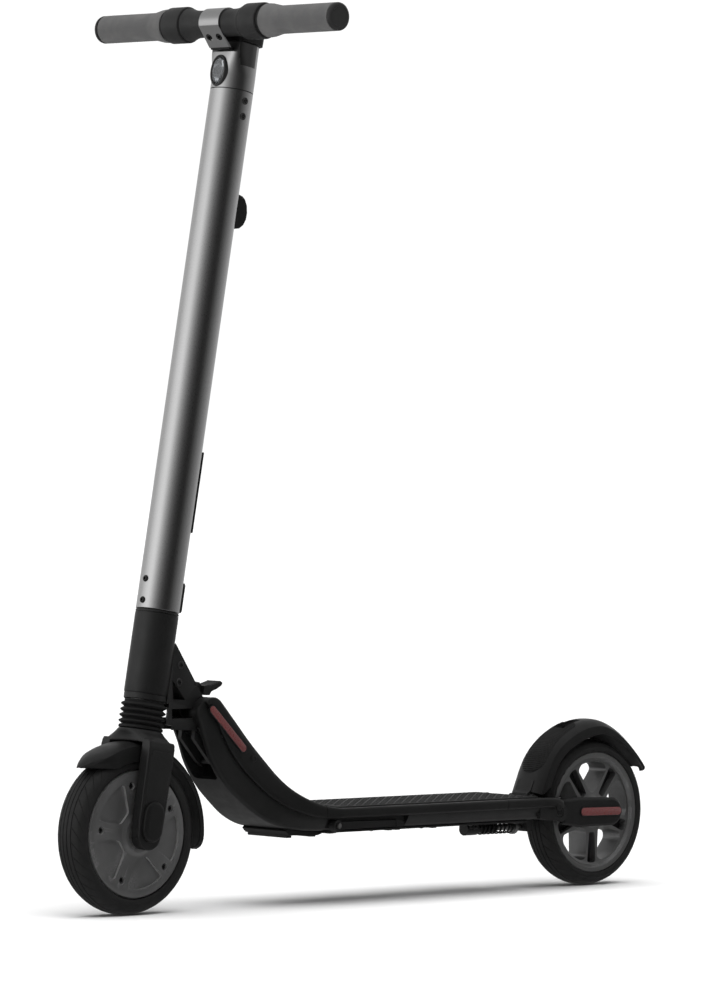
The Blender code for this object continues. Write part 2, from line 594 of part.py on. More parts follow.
# ---------------------------------------------------------------- fork with its slider, fender and covers
def build_fork():
    fork = loft("fork", [squarish(115.2, -24, 24, 45.5, 20, 3.2), squarish(119.5, -25, 25, 39, 20, 2.8),
                         squarish(124, -27, 27, 31, 20, 2.3), squarish(CROWN_TOP, -28, 28, 28, 20,
                                                                       2.0)], STEM)
    leg = [(-21.5, 116), (-20.5, 20)] + arc((0, 0), 18.5, 180, 360, 10) + [(20.5, 20), (21.5, 116)]
    for side, _ in SIDES:
        fuse(fork, prism("leg", leg, *band(side, 30.0, 45.0), STEM))
    shoulder = ((28.6, 129), (36.5, 119.5), (46.2, 102), (60, 102), (60, 129))
    for side, _ in SIDES:
        cut(fork, loft("shoulder", [[(u, side * v, s) for v, s in shoulder] for u in (-40, 40)], STEM))
    fuse(fork, rod("slider", 14.5, 120, 214, 32, STEM))
    bore(fork, AXLE_BORE, 60, FRONT_AXLE, 16)
    outline = capsule((0, 7), (0, 26), 15.5)
    face = capsule((0, 7), (0, 26), 13.0)
    for side, tag in SIDES:
        sections = ((45.4, outline), (48.5, outline), (51.5, face))
        loft("axle_cover_" + tag, [[(u, side * y, s) for u, s in points] for y, points in sections], STEM)


def build_front_fender():
    """Mudguard round the front tyre; its front end narrows to a beak with a level lower edge."""
    radius, tip = 113.6, 43.0
    tip_height = radius * math.sin(math.radians(tip))
    widths = {43.0: 0.14, 45.5: 0.36, 48.5: 0.58, 52.0: 0.77, 56.0: 0.92}
    angles = list(widths) + [lerp(61, 192, i / 11) for i in range(12)]
    rings = []
    for degrees in angles:
        a = math.radians(degrees)
        half = 26.0 * widths.get(degrees, 0.72 if degrees == angles[-1] else 1.0)
        level = (radius * math.sin(a) - tip_height) / math.sin(a) + 3.0 if degrees < 90 else 12.0
        drop = min(12.0, level)
        outer = [(-half, -drop), (-half * 0.98, -0.58 * drop), (-half * 0.73, -0.18 * drop), (0, 0)]
        outer += [(-y, h) for y, h in outer[-2::-1]]
        wall = min(1.8, 0.4 * half)
        inner = [(y * (half - wall) / half, max(h - 2.3, -drop)) for y, h in reversed(outer)]
        rings.append([(XF + (radius + h) * math.cos(a), y, FRONT_R + (radius + h) * math.sin(a))
                      for y, h in outer + inner])
    loft("front_fender", rings)


def build_bellows():
    profile = [(21.3, 129.0), (27.0, 129.0), (27.4, 133)]
    for i in range(4):
        fold = 134.5 + 7.2 * i
        profile += [(24.2, fold), (28.6, fold + 3.6)]
    lathe("fork_bellows", profile + [(24.5, 163.0), (24.5, 164.4), (21.3, 164.4)], 24, STEM)
    coil("fork_spring", 17.8, 1.7, 4, 12, 4, 130.9, 155.8, STEM)


# ---------------------------------------------------------------- looks and origins
FINISH_OF = {
    "black_metal": ("neck_and_deck_frame", "fold_bracket", "fold_pedal", "head_tube", "rear_arm", "fork"),
    "silver_metal": ("stem_tube", "stem_head", "bar_clamp"),
    "grey_metal": ("front_hub_motor", "rear_wheel"),
    "tyre": ("front_tyre", "rear_tyre"),
    "black_rubber": ("deck_mat", "foot_brake_pad", "fork_bellows"),
    "grip_rubber": ("grip_left", "grip_right"),
    "steel": ("steerer_tube", "fold_pivot_pin", "rear_arm_pivot_pin", "kickstand_pivot_pin",
              "fender_hinge_pin",
              "front_axle", "rear_axle", "rear_shock_body", "rear_shock_rod", "rear_shock_spring",
              "fork_spring"),
    "reflector": ("neck_reflector_left", "neck_reflector_right", "tail_reflector_left",
                  "tail_reflector_right"),
    "lens": ("headlight_lens",),
    "dark_window": ("display_window",),
    "inner_unit": ("battery_pack", "control_unit"),
}
AXLE_F, AXLE_R = (XF, 0, FRONT_R), (XR, 0, REAR_R)
FOLD_AT, ARM_AT, HINGE_AT = (FOLD[0], 0, FOLD[1]), (ARM[0], 0, ARM[1]), (HINGE[0], 0, HINGE[1])
BAR_AT = tuple(BAR.translation)
STEERING = ("steerer_tube", "stem_tube", "battery_pack", "battery_connector_cover", "charge_port",
            "stem_hook",
            "stem_head", "headlight_lens", "display_housing", "display_window", "handlebar", "bar_clamp",
            "control_collar_left", "control_collar_right", "grip_left", "grip_right", "bar_end_cap_left",
            "bar_end_cap_right", "fork_bellows", "fork_spring", "fork", "axle_cover_left", "axle_cover_right",
            "front_axle", "front_fender", "front_hub_motor", "front_tyre")
ORIGINS = {
    STAND: ("kickstand",),
    ARM_AT: ("rear_arm", "rear_arm_cover_left", "rear_arm_cover_right", "tail_reflector_left",
             "tail_reflector_right", "rear_axle", "fender_hinge_pin"),
    HINGE_AT: ("rear_fender", "foot_brake_pad"),
    AXLE_R: ("rear_wheel", "rear_tyre"),
    FOLD_AT: ("head_tube", "fold_bracket"),
    (PEDAL[0], 0, PEDAL[1]): ("fold_pedal",),
    AXLE_F: STEERING,                      # the front axle lies on the steering axis
    BAR_AT: ("brake_lever", "throttle_lever"),
    tuple((BUTTON @ at(-14, 0, 0)).translation): ("power_button",),
    tuple((STEM @ at(-30.6, 0, 280)).translation): ("charge_port_flap",),
    (-299.4, 0, SHOCK_Z): ("rear_shock_rod",),
}


def dress(obj, finish):
    colour, roughness, metallic = FINISHES[finish]
    material = bpy.data.materials.new(obj.name)
    material.use_nodes = True
    shader = material.node_tree.nodes["Principled BSDF"]
    shader.inputs["Base Color"].default_value = (*colour, 1.0)
    shader.inputs["Roughness"].default_value = roughness
    shader.inputs["Metallic"].default_value = metallic
    material.diffuse_color = (*colour, 1.0)
    obj.data.materials.clear()
    obj.data.materials.append(material)
    obj.data.shade_smooth()
    obj.data.set_sharp_from_angle(angle=SMOOTH_BELOW)


def set_origin(obj, origin):
    """Scales a piece to metres and puts its origin on its joint's axis."""
    obj.data.transform(Matrix.Scale(MM, 4) @ at(*(-c for c in origin)))
    obj.location = Vector(origin) * MM
    obj.data.update()


def finish_pieces():
    finish_of = {name: finish for finish, names in FINISH_OF.items() for name in names}
    origin_of = {name: origin for origin, names in ORIGINS.items() for name in names}
    for obj in bpy.data.objects:
        dress(obj, finish_of.get(obj.name, "black_plastic"))
        set_origin(obj, origin_of.get(obj.name, (0.0, 0.0, 0.0)))


build_frame()
build_deck_covers()
build_side_trims()
build_kickstand()
build_rear_arm()
build_rear_arm_covers()
build_rear_shock()
build_front_wheel()
build_rear_wheel()
build_rear_fender()
build_foot_pad()
build_fold()
build_fold_pedal()
build_stem()
build_head()
build_display()
build_bar()
build_levers()
build_fork()
build_front_fender()
build_bellows()
finish_pieces()
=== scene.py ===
"""Looks of a folding electric kick scooter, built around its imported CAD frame.
Shapes are written in millimetres in the part's own frame (+X forward, +Y rider's left, +Z up)
and become metres when a piece is finished."""
import json
import math
from math import atan2, copysign, cos, dist, hypot, pi, radians, sin, sqrt

import bmesh
import bpy
from mathutils import Matrix, Vector

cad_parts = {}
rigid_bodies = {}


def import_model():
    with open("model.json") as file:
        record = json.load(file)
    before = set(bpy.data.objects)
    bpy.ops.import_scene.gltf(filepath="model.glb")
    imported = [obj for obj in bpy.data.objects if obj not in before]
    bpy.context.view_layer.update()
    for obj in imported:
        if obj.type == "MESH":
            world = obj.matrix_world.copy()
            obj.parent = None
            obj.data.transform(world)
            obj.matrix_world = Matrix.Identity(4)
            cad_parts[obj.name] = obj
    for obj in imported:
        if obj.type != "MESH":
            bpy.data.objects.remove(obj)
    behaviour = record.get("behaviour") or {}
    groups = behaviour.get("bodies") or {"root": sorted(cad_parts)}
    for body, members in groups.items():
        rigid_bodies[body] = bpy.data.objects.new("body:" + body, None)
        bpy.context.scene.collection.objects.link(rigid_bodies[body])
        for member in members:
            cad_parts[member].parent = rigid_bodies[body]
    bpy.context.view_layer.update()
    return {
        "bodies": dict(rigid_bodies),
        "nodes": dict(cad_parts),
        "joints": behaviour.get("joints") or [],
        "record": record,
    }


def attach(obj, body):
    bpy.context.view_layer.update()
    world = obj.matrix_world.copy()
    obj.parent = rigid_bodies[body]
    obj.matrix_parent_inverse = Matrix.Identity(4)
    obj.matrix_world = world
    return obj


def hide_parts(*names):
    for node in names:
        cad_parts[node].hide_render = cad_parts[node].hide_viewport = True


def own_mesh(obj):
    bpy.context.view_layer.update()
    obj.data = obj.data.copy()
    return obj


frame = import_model()

MM = 0.001                                    # one millimetre in metres
RECORD = frame["record"]
SLOT_OF = {row["node"]: row["material_slot"] for row in RECORD["subparts"]}
JOINTS = {joint["name"]: joint for joint in frame["joints"]}


# ---- places and sizes from the frame (mm)
def span(node, matrix=Matrix.Identity(4)):
    """Lowest and highest corner of a CAD node in a local frame, in millimetres."""
    back = matrix.inverted()
    points = [back @ (v.co / MM) for v in frame["nodes"][node].data.vertices]
    return (Vector([min(p[k] for p in points) for k in range(3)]),
            Vector([max(p[k] for p in points) for k in range(3)]))


def at(x=0, y=0, z=0):
    return Matrix.Translation((x, y, z))


def turn(degrees, axis):
    return Matrix.Rotation(radians(degrees), 4, axis)


def joint_point(name):
    return Vector(JOINTS[name]["pos_m"]) / MM


SIDES = ((1, "left"), (-1, "right"))
ALONG_Y = turn(-90, "X")                      # a lathe's axis laid along +Y
ALONG_X = turn(90, "Y")                       # and along +X
STEER = Vector(JOINTS["steering_turn"]["axis"])
RAKE = math.asin(-STEER.x)
XF, _, FRONT_R = joint_point("front_wheel_spin")
XR, _, REAR_R = joint_point("rear_wheel_spin")
STEM = at(XF, 0, FRONT_R) @ Matrix.Rotation(-RAKE, 4, "Y")   # local x forward, z up the steering axis
FRONT_AXLE = at(XF, 0, FRONT_R) @ ALONG_Y
REAR_AXLE = at(XR, 0, REAR_R) @ ALONG_Y
BAR_LOW, BAR_HIGH = span("handlebar", STEM)
BAR_U, BAR_S = (BAR_LOW.x + BAR_HIGH.x) / 2, (BAR_LOW.z + BAR_HIGH.z) / 2
BAR = STEM @ at(BAR_U, 0, BAR_S) @ ALONG_Y
STEM_LOW, STEM_HIGH = span("stem_tube", STEM)
STEM_R = STEM_HIGH.y
STEM_BOTTOM, STEM_TOP = STEM_LOW.z, STEM_HIGH.z
TUBE_BORE, STEERER_BORE = 24.5, 21.3
FOLD = joint_point("stem_fold")
ARM = joint_point("rear_arm_swing")
HINGE = joint_point("foot_brake_press")
BAR_HALF = span("bar_end_cap_left")[1].y
RIM_R = span("front_hub_motor", FRONT_AXLE)[1].x
GAP = 0.4                                     # clearance left between neighbouring pieces


# ---- materials
class Graph:
    """A material's node tree, with short calls for the nodes used here."""

    def __init__(self, name):
        self.material = bpy.data.materials.new(name)
        self.material.use_nodes = True
        self.nodes = self.material.node_tree.nodes
        self.links = self.material.node_tree.links
        self.shader = self.nodes["Principled BSDF"]
        self.place = self.nodes.new("ShaderNodeTexCoord").outputs["Object"]

    def new(self, kind, settings=(), **inputs):
        node = self.nodes.new("ShaderNode" + kind)
        for key, value in dict(settings).items():
            setattr(node, key, value)
        for key, value in inputs.items():
            self.put(node, key.replace("_", " "), value)
        return node

    def put(self, node, key, value):
        socket = node.inputs[int(key)] if key.isdigit() else node.inputs[key]
        if isinstance(value, bpy.types.NodeSocket):
            self.links.new(value, socket)
        else:
            socket.default_value = value

    def mapped(self, scale, rotation=(0, 0, 0)):
        return self.new("Mapping", Vector=self.place, Scale=scale, Rotation=rotation).outputs[0]

    def noise(self, scale, detail=4, stretch=None, rotation=(0, 0, 0), rough=0.55):
        vector = self.mapped(stretch, rotation) if stretch else self.place
        return self.new("TexNoise", Vector=vector, Scale=scale, Detail=detail,
                        Roughness=rough).outputs["Fac"]

    def ramp(self, value, low, high, out_low=0, out_high=1):
        node = self.new("MapRange", Value=value)
        for key, number in zip(("From Min", "From Max", "To Min", "To Max"),
                               (low, high, out_low, out_high)):
            node.inputs[key].default_value = number
        return node.outputs[0]

    def mix(self, factor, first, second):
        node = self.new("Mix", {"data_type": "RGBA"})
        self.put(node, "0", factor)
        self.put(node, "6", first)
        self.put(node, "7", second)
        return node.outputs[2]

    def add(self, first, second, operation="ADD"):
        node = self.nodes.new("ShaderNodeMath")
        node.operation = operation
        self.put(node, "0", first)
        self.put(node, "1", second)
        return node.outputs[0]

    def bump(self, height, strength, distance):
        node = self.new("Bump", Height=height, Strength=strength, Distance=distance)
        self.links.new(node.outputs[0], self.shader.inputs["Normal"])

    def wear_and_highlight_edges(self, colour, edge, amount):
        """Mixes in a lighter colour along convex edges, partly as edge wear and partly as a painted
        highlight.
        """
        point = self.new("NewGeometry").outputs["Pointiness"]
        mask = self.add(self.ramp(point, 0.53, 0.62), amount, "MULTIPLY")
        broken = self.add(mask, self.ramp(self.noise(900, 3), 0.35, 0.65), "MULTIPLY")
        return self.mix(broken, colour, edge)


def rgb(grey, warm=0):
    return (grey * (1 + warm), grey, grey * (1 - warm), 1)


def finish_surface(graph, metallic=0, **constants):
    graph.shader.inputs["Metallic"].default_value = metallic
    for key, value in constants.items():
        graph.shader.inputs[key.replace("_", " ")].default_value = value
    return graph.material


def coated(name, grey, edge, rough=(0.34, 0.46), grain=2600, depth=0.00004, metallic=0, cells=False):
    """Paint, powder coat or moulded plastic: fine grain, soft tone variation and lighter edges, partly edge
    wear and partly painted highlight.
    """
    g = Graph(name)
    tone = g.mix(g.ramp(g.noise(18, 3), 0.3, 0.7), rgb(grey * 0.86), rgb(grey * 1.14))
    g.put(g.shader, "Base Color", g.wear_and_highlight_edges(tone, rgb(edge), 0.5))
    g.put(g.shader, "Roughness", g.ramp(g.noise(70, 5), 0.3, 0.7, *rough))
    if cells:
        fine = g.new("TexVoronoi", Vector=g.place, Scale=grain).outputs["Distance"]
    else:
        fine = g.noise(grain, 2)
    g.bump(fine, 0.35, depth)
    return finish_surface(g, metallic, Specular_IOR_Level=0.35)


def brushed(name, grey, rotation, stretch=(60, 60, 1.2), rough=(0.24, 0.36), metallic=1):
    """Metal with fine brushing along one direction under a thin clear anodised skin."""
    g = Graph(name)
    lines = g.noise(60, 6, stretch, rotation, 0.7)
    cloud = g.noise(7, 2)
    tone = g.mix(g.ramp(lines, 0.3, 0.7), rgb(grey * 0.9), rgb(grey * 1.08))
    tone = g.mix(g.add(g.ramp(cloud, 0.35, 0.65), 0.12, "MULTIPLY"), tone, rgb(grey * 0.8))
    g.put(g.shader, "Base Color", tone)
    g.put(g.shader, "Roughness", g.ramp(lines, 0.25, 0.75, *rough))
    g.bump(lines, 0.06, 0.00005)
    return finish_surface(g, metallic, Anisotropic=0.35)


def rubber(name, grey, rough=(0.62, 0.8), grain=1500, depth=0.00012):
    g = Graph(name)
    dust = g.ramp(g.noise(45, 5), 0.45, 0.75)
    g.put(g.shader, "Base Color", g.mix(g.add(dust, 0.5, "MULTIPLY"), rgb(grey), rgb(grey * 1.5, 0.03)))
    g.put(g.shader, "Roughness", g.ramp(g.noise(120, 4), 0.3, 0.7, *rough))
    g.bump(g.noise(grain, 3), 0.5, depth)
    return finish_surface(g, Specular_IOR_Level=0.3)


def steel(name, grey=0.32, rough=(0.3, 0.45)):
    g = Graph(name)
    spots = g.noise(260, 4)
    g.put(g.shader, "Base Color", g.mix(g.ramp(spots, 0.35, 0.7), rgb(grey), rgb(grey * 0.72, 0.03)))
    g.put(g.shader, "Roughness", g.ramp(spots, 0.3, 0.7, *rough))
    g.bump(g.noise(1200, 2), 0.15, 0.00003)
    return finish_surface(g, 1)


def reflector_red(name, red):
    """Moulded reflector: a fine lattice of corner prisms under a smooth red skin."""
    g = Graph(name)
    cells = g.new("TexVoronoi", {"feature": "F1"}, Vector=g.place, Scale=520)
    shade = g.ramp(cells.outputs["Distance"], 0, 0.7)
    g.put(g.shader, "Base Color", g.mix(shade, (red, red * 0.27, red * 0.27, 1),
                                        (red * 0.62, red * 0.15, red * 0.15, 1)))
    g.put(g.shader, "Roughness", g.ramp(shade, 0, 1, 0.2, 0.34))
    g.bump(cells.outputs["Distance"], 0.25, 0.0002)
    return finish_surface(g, 0, Coat_Weight=0.6, Coat_Roughness=0.08)


def clear_lens(name):
    g = Graph(name)
    g.put(g.shader, "Roughness", g.ramp(g.noise(90, 3), 0.3, 0.7, 0.02, 0.06))
    return finish_surface(g, 0, Transmission_Weight=0.9, IOR=1.49, Base_Color=(0.62, 0.64, 0.66, 1))


def gloss_dark(name, grey=0.006):
    g = Graph(name)
    smear = g.noise(35, 4)
    g.put(g.shader, "Base Color", g.mix(g.ramp(smear, 0.3, 0.7), rgb(grey), rgb(grey * 1.5)))
    g.put(g.shader, "Roughness", g.ramp(smear, 0.3, 0.7, 0.05, 0.12))
    return finish_surface(g, 0, Coat_Weight=0.5)


LEAN = (0, RAKE, 0)          # turns object coordinates so that their z runs up the stem
LOOKS = {
    "black_metal": coated("black_powder_coat", 0.010, 0.03, (0.34, 0.44)),
    "silver_metal": brushed("silver_brushed_aluminium", 0.56, LEAN),
    # The grey paint's edge colour, over twice its base, is a painted highlight along the wheels' bevelled
    # edges, on top of edge wear.
    "grey_metal": coated("grey_cast_paint", 0.19, 0.42, (0.34, 0.46), 2200, 0.00005, 0.75),
    "black_plastic": coated("black_moulded_plastic", 0.007, 0.02, (0.38, 0.52), 1900, 0.00006, 0, True),
    "tyre": rubber("tyre_rubber", 0.011, (0.5, 0.64)),
    "black_rubber": rubber("black_soft_rubber", 0.008, (0.55, 0.7)),
    "grip_rubber": rubber("grey_grip_rubber", 0.115, (0.6, 0.74), 2400, 0.00005),
    "steel": steel("zinc_plated_steel"),
    "reflector": reflector_red("red_reflector", 0.17),
    "lens": clear_lens("headlight_lens_clear"),
    "dark_window": gloss_dark("smoked_window"),
    "inner_unit": coated("inner_case_plastic", 0.06, 0.09, (0.5, 0.6)),
}
MACHINED = brushed("machined_rim", 0.34, (pi / 2, 0, 0), (8, 8, 8), (0.3, 0.42))
BLACK_STEEL = coated("black_oxide_steel", 0.022, 0.12, (0.26, 0.38), 2400, 0.00003, 0.7)
GUNMETAL = coated("gunmetal_bezel", 0.045, 0.10, (0.28, 0.38), 2400, 0.00003, 0.6)
HEAD_SILVER = brushed("silver_cast_head", 0.52, LEAN, (40, 40, 6), (0.26, 0.36))
# A darker copy of the head's silver for its flat sides: painted shade.
HEAD_SIDE_PAINTED_SHADE = brushed("dark_head_side", 0.16, LEAN, (40, 40, 6), (0.34, 0.44))
# A lighter copy of the grey paint, put on the hub's pocket walls as a painted highlight.
HUB_POCKET_PAINTED_HIGHLIGHT = coated("grey_paint_painted_highlight", 0.42, 0.5, (0.3, 0.4), 2200, 0.00005, 0.6)
COLLAR_BLACK = coated("collar_soft_black", 0.020, 0.04, (0.42, 0.54), 1900, 0.00006, 0, True)
WHEEL_DARK = coated("wheel_channel_black", 0.012, 0.03, (0.4, 0.5), 2200, 0.00005, 0.2)


# ---- mesh helpers (millimetres)
def outward(side):
    """Lays a lathe's axis along y, pointing away from the scooter."""
    return ALONG_Y if side > 0 else turn(90, "X")


def facing(axle, side):
    """An axle's frame, turned round for the right side."""
    return axle if side > 0 else axle @ turn(180, "X")


def angles(n):
    return [2 * pi * k / n for k in range(n)]


def circle(r, h, n):
    return [(r * cos(a), r * sin(a), h) for a in angles(n)]


def solid(verts, faces, matrix=None):
    mesh = bpy.data.meshes.new("piece")
    mesh.from_pydata([tuple(v) for v in verts], [], faces)
    if matrix is not None:
        mesh.transform(matrix)
    bm = bmesh.new()
    bm.from_mesh(mesh)
    bmesh.ops.recalc_face_normals(bm, faces=bm.faces)
    if bm.calc_volume(signed=True) < 0:
        bmesh.ops.reverse_faces(bm, faces=bm.faces)
    bm.to_mesh(mesh)
    bm.free()
    obj = bpy.data.objects.new("piece", mesh)
    bpy.context.scene.collection.objects.link(obj)
    return obj


def loft(rings, matrix=None, closed=False):
    """Joins rings of equally many points, with flat ends unless it is closed."""
    n, count = len(rings[0]), len(rings)
    verts = [p for ring in rings for p in ring]
    faces = []
    for i in range(count if closed else count - 1):
        a, b = i * n, ((i + 1) % count) * n
        faces += [(a + k, a + (k + 1) % n, b + (k + 1) % n, b + k) for k in range(n)]
    if not closed:
        faces.append(tuple(range(n - 1, -1, -1)))
        faces.append(tuple(range((count - 1) * n, count * n)))
    return solid(verts, faces, matrix)


def lathe(profile, segments, matrix=None):
    """A closed profile of (radius, height) turned about the height axis."""
    verts, index, faces = [], [], []
    for r, h in profile:
        ring = circle(r, h, segments) if r > 1e-6 else [(0, 0, h)]
        index.append([len(verts) + k % len(ring) for k in range(segments)])
        verts += ring
    for i, first in enumerate(index):
        second = index[(i + 1) % len(index)]
        for k in range(segments):
            after = (k + 1) % segments
            quad = [first[k], first[after], second[after], second[k]]
            face = [v for j, v in enumerate(quad) if v != quad[j - 1]]
            if len(set(face)) >= 3:
                faces.append(tuple(face))
    return solid(verts, faces, matrix)


def rod(r, h0, h1, segments, matrix=None):
    return lathe([(0, h0), (r, h0), (r, h1), (0, h1)], segments, matrix)


def prism(outline, y0, y1, matrix=None):
    """An outline of (x, z) points extruded along y."""
    return loft([[(x, y0, z) for x, z in outline], [(x, y1, z) for x, z in outline]], matrix)


def box(x0, x1, y0, y1, z0, z1, matrix=None):
    return prism([(x0, z0), (x1, z0), (x1, z1), (x0, z1)], y0, y1, matrix)


def combine(a, b, operation):
    modifier = a.modifiers.new("join", "BOOLEAN")
    modifier.operation, modifier.solver, modifier.object = operation, "EXACT", b
    mesh = bpy.data.meshes.new_from_object(a.evaluated_get(bpy.context.evaluated_depsgraph_get()))
    a.modifiers.clear()
    a.data = mesh
    bpy.data.objects.remove(b, do_unlink=True)
    return a


def cut(a, *tools):
    for tool in tools:
        combine(a, tool, "DIFFERENCE")
    return a


def fuse(a, *others):
    for other in others:
        combine(a, other, "UNION")
    return a


def lerp(a, b, t):
    return a + (b - a) * t


def clamp(value):
    """Limits a number to the range 0 to 1."""
    return min(max(value, 0), 1)


def polar(r, degrees):
    return r * cos(radians(degrees)), r * sin(radians(degrees))


def between(side, a, b):
    """The y range from a to b on one side of the scooter, lowest first."""
    return sorted((side * a, side * b))


def both_ways(profile):
    """A half profile of (radius, height) followed by its mirror image."""
    return profile + [(r, -h) for r, h in reversed(profile)]


def running_lengths(points):
    lengths = [0]
    for a, b in zip(points, points[1:]):
        lengths.append(lengths[-1] + dist(a, b))
    return lengths


def arc(cx, cz, r, a0, a1, n):
    return [(cx + r * cos(radians(lerp(a0, a1, i / n))),
             cz + r * sin(radians(lerp(a0, a1, i / n)))) for i in range(n + 1)]


def capsule(x0, z0, x1, z1, r, n=14):
    """Outline of a slot shape between two centres."""
    a = math.degrees(atan2(z1 - z0, x1 - x0))
    return arc(x1, z1, r, a - 90, a + 90, n) + arc(x0, z0, r, a + 90, a + 270, n)


def rounded(points, radii, n=5):
    """A closed polygon with each corner replaced by a curve of about that radius."""
    out = []
    for i, p in enumerate(points):
        p = Vector(p)
        before, after = Vector(points[i - 1]), Vector(points[(i + 1) % len(points)])
        r = radii[i] if isinstance(radii, (list, tuple)) else radii
        d0, d1 = (before - p), (after - p)
        reach = min(r, d0.length * 0.48, d1.length * 0.48)
        if reach < 1e-3:
            out += [tuple(p)] * (n + 1)
            continue
        a, b = p + d0.normalized() * reach, p + d1.normalized() * reach
        for k in range(n + 1):
            t = k / n
            out.append(tuple(a * (1 - t) ** 2 + p * 2 * t * (1 - t) + b * t * t))
    return out


def smooth_line(points, steps):
    """Catmull-Rom curve through tuples of any length."""
    out = []
    for i in range(len(points) - 1):
        p = [points[max(i - 1, 0)], points[i], points[i + 1], points[min(i + 2, len(points) - 1)]]
        for k in range(steps):
            t = k / steps
            out.append(tuple(0.5 * (2 * b + (c - a) * t + (2 * a - 5 * b + 4 * c - d) * t * t
                                    + (3 * b - a - 3 * c + d) * t ** 3) for a, b, c, d in zip(*p)))
    return out + [tuple(points[-1])]


def squircle(a, reach, half, power):
    """Point at angle a of a superellipse: power 2 is an ellipse, a higher power squares it up."""
    c, d = cos(a), sin(a)
    return reach * copysign(abs(c) ** (2 / power), c), half * copysign(abs(d) ** (2 / power), d)


def superring(s, u0, u1, half, n=72, power=2.2):
    """A ring between a circle and a box at height s, reaching from u0 to u1."""
    middle, reach = (u0 + u1) / 2, (u1 - u0) / 2
    corners = [squircle(a, reach, half, power) for a in angles(n)]
    return [(middle + u, v, s) for u, v in corners]


def ellipse(a, b, h, n=64):
    return [(-a * sin(t), b * cos(t), h) for t in angles(n)]


def coil(r, wire, h0, h1, turns, steps, sides, matrix):
    """A round wire wound about local z from height h0 to h1."""
    rings = []
    for i in range(turns * steps + 1):
        a, h = 2 * pi * i / steps, lerp(h0, h1, i / (turns * steps))
        rings.append([((r + wire * cos(b)) * cos(a), (r + wire * cos(b)) * sin(a), h + wire * sin(b))
                      for b in angles(sides)])
    return loft(rings, matrix)


# ---- finishing a piece
def soften(obj, width, segments):
    """Rounds the crisp edges and keeps the broad faces flat in the shading."""
    bevel = obj.modifiers.new("edges", "BEVEL")
    bevel.width, bevel.segments = width * MM, segments
    bevel.limit_method, bevel.angle_limit = "ANGLE", radians(28)
    bevel.use_clamp_overlap = True
    obj.modifiers.new("shading", "WEIGHTED_NORMAL").keep_sharp = True


def finish(name, obj, body, look=None, stands_for=(), slot=None, bevel=0, segments=3, sharp=38):
    """Scales a piece to metres, shades it, gives it a material and puts it on its body."""
    stands_for = [stands_for] if isinstance(stands_for, str) else list(stands_for)
    slot = slot or SLOT_OF[stands_for[0]]
    obj.name = obj.data.name = name
    obj.data.transform(Matrix.Scale(MM, 4))
    obj.data.shade_smooth()
    obj.data.set_sharp_from_angle(angle=radians(60 if bevel else sharp))
    if bevel:
        soften(obj, bevel, segments)
    obj.data.materials.clear()
    obj.data.materials.append(look or LOOKS[slot])
    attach(obj, body)
    if stands_for:
        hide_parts(*stands_for)
    return obj


def refine(node, bevel, segments=2, look=None):
    """Keeps a CAD node's shape, rounds its edges and gives it its material."""
    obj = frame["nodes"][node]
    obj.data.materials.clear()
    obj.data.materials.append(look or LOOKS[SLOT_OF[node]])
    obj.modifiers.new("weld", "WELD").merge_threshold = 1e-6
    flat = obj.modifiers.new("flats", "DECIMATE")
    flat.decimate_type, flat.angle_limit = "DISSOLVE", radians(0.6)
    soften(obj, bevel, segments)
    obj.data.shade_smooth()
    obj.data.set_sharp_from_angle(angle=radians(45))


def screw(name, matrix, r, body, height=2.2, hexagon=0.46):
    """A button head with a hexagonal socket, its axis along local z."""
    n, socket = 36, []
    for a in angles(n):
        flat = cos(pi / 6) / cos((a % (pi / 3)) - pi / 6)
        socket.append((r * hexagon * flat * cos(a), r * hexagon * flat * sin(a)))
    dome = ((1, -1), (1, height * 0.25), (0.93, height * 0.6), (0.78, height * 0.88), (0.6, height))
    well = ((1, height), (0.97, height - 0.25), (0.96, height * 0.15))
    rings = [circle(r * k, h, n) for k, h in dome]
    rings += [[(x * k, y * k, h) for x, y in socket] for k, h in well]
    return finish(name, loft(rings, matrix), body, BLACK_STEEL, slot="steel", sharp=32)


def washer(name, bore, r, h0, h1, corner, matrix, body, look=None, segments=48):
    """A flat ring; corner says how far its outer edge is cut inward and down."""
    inward, down = corner
    profile = [(bore, h0), (r, h0), (r, h1 - down), (r - inward, h1), (bore, h1)]
    finish(name, lathe(profile, segments, matrix), body, look, slot="steel", sharp=30)


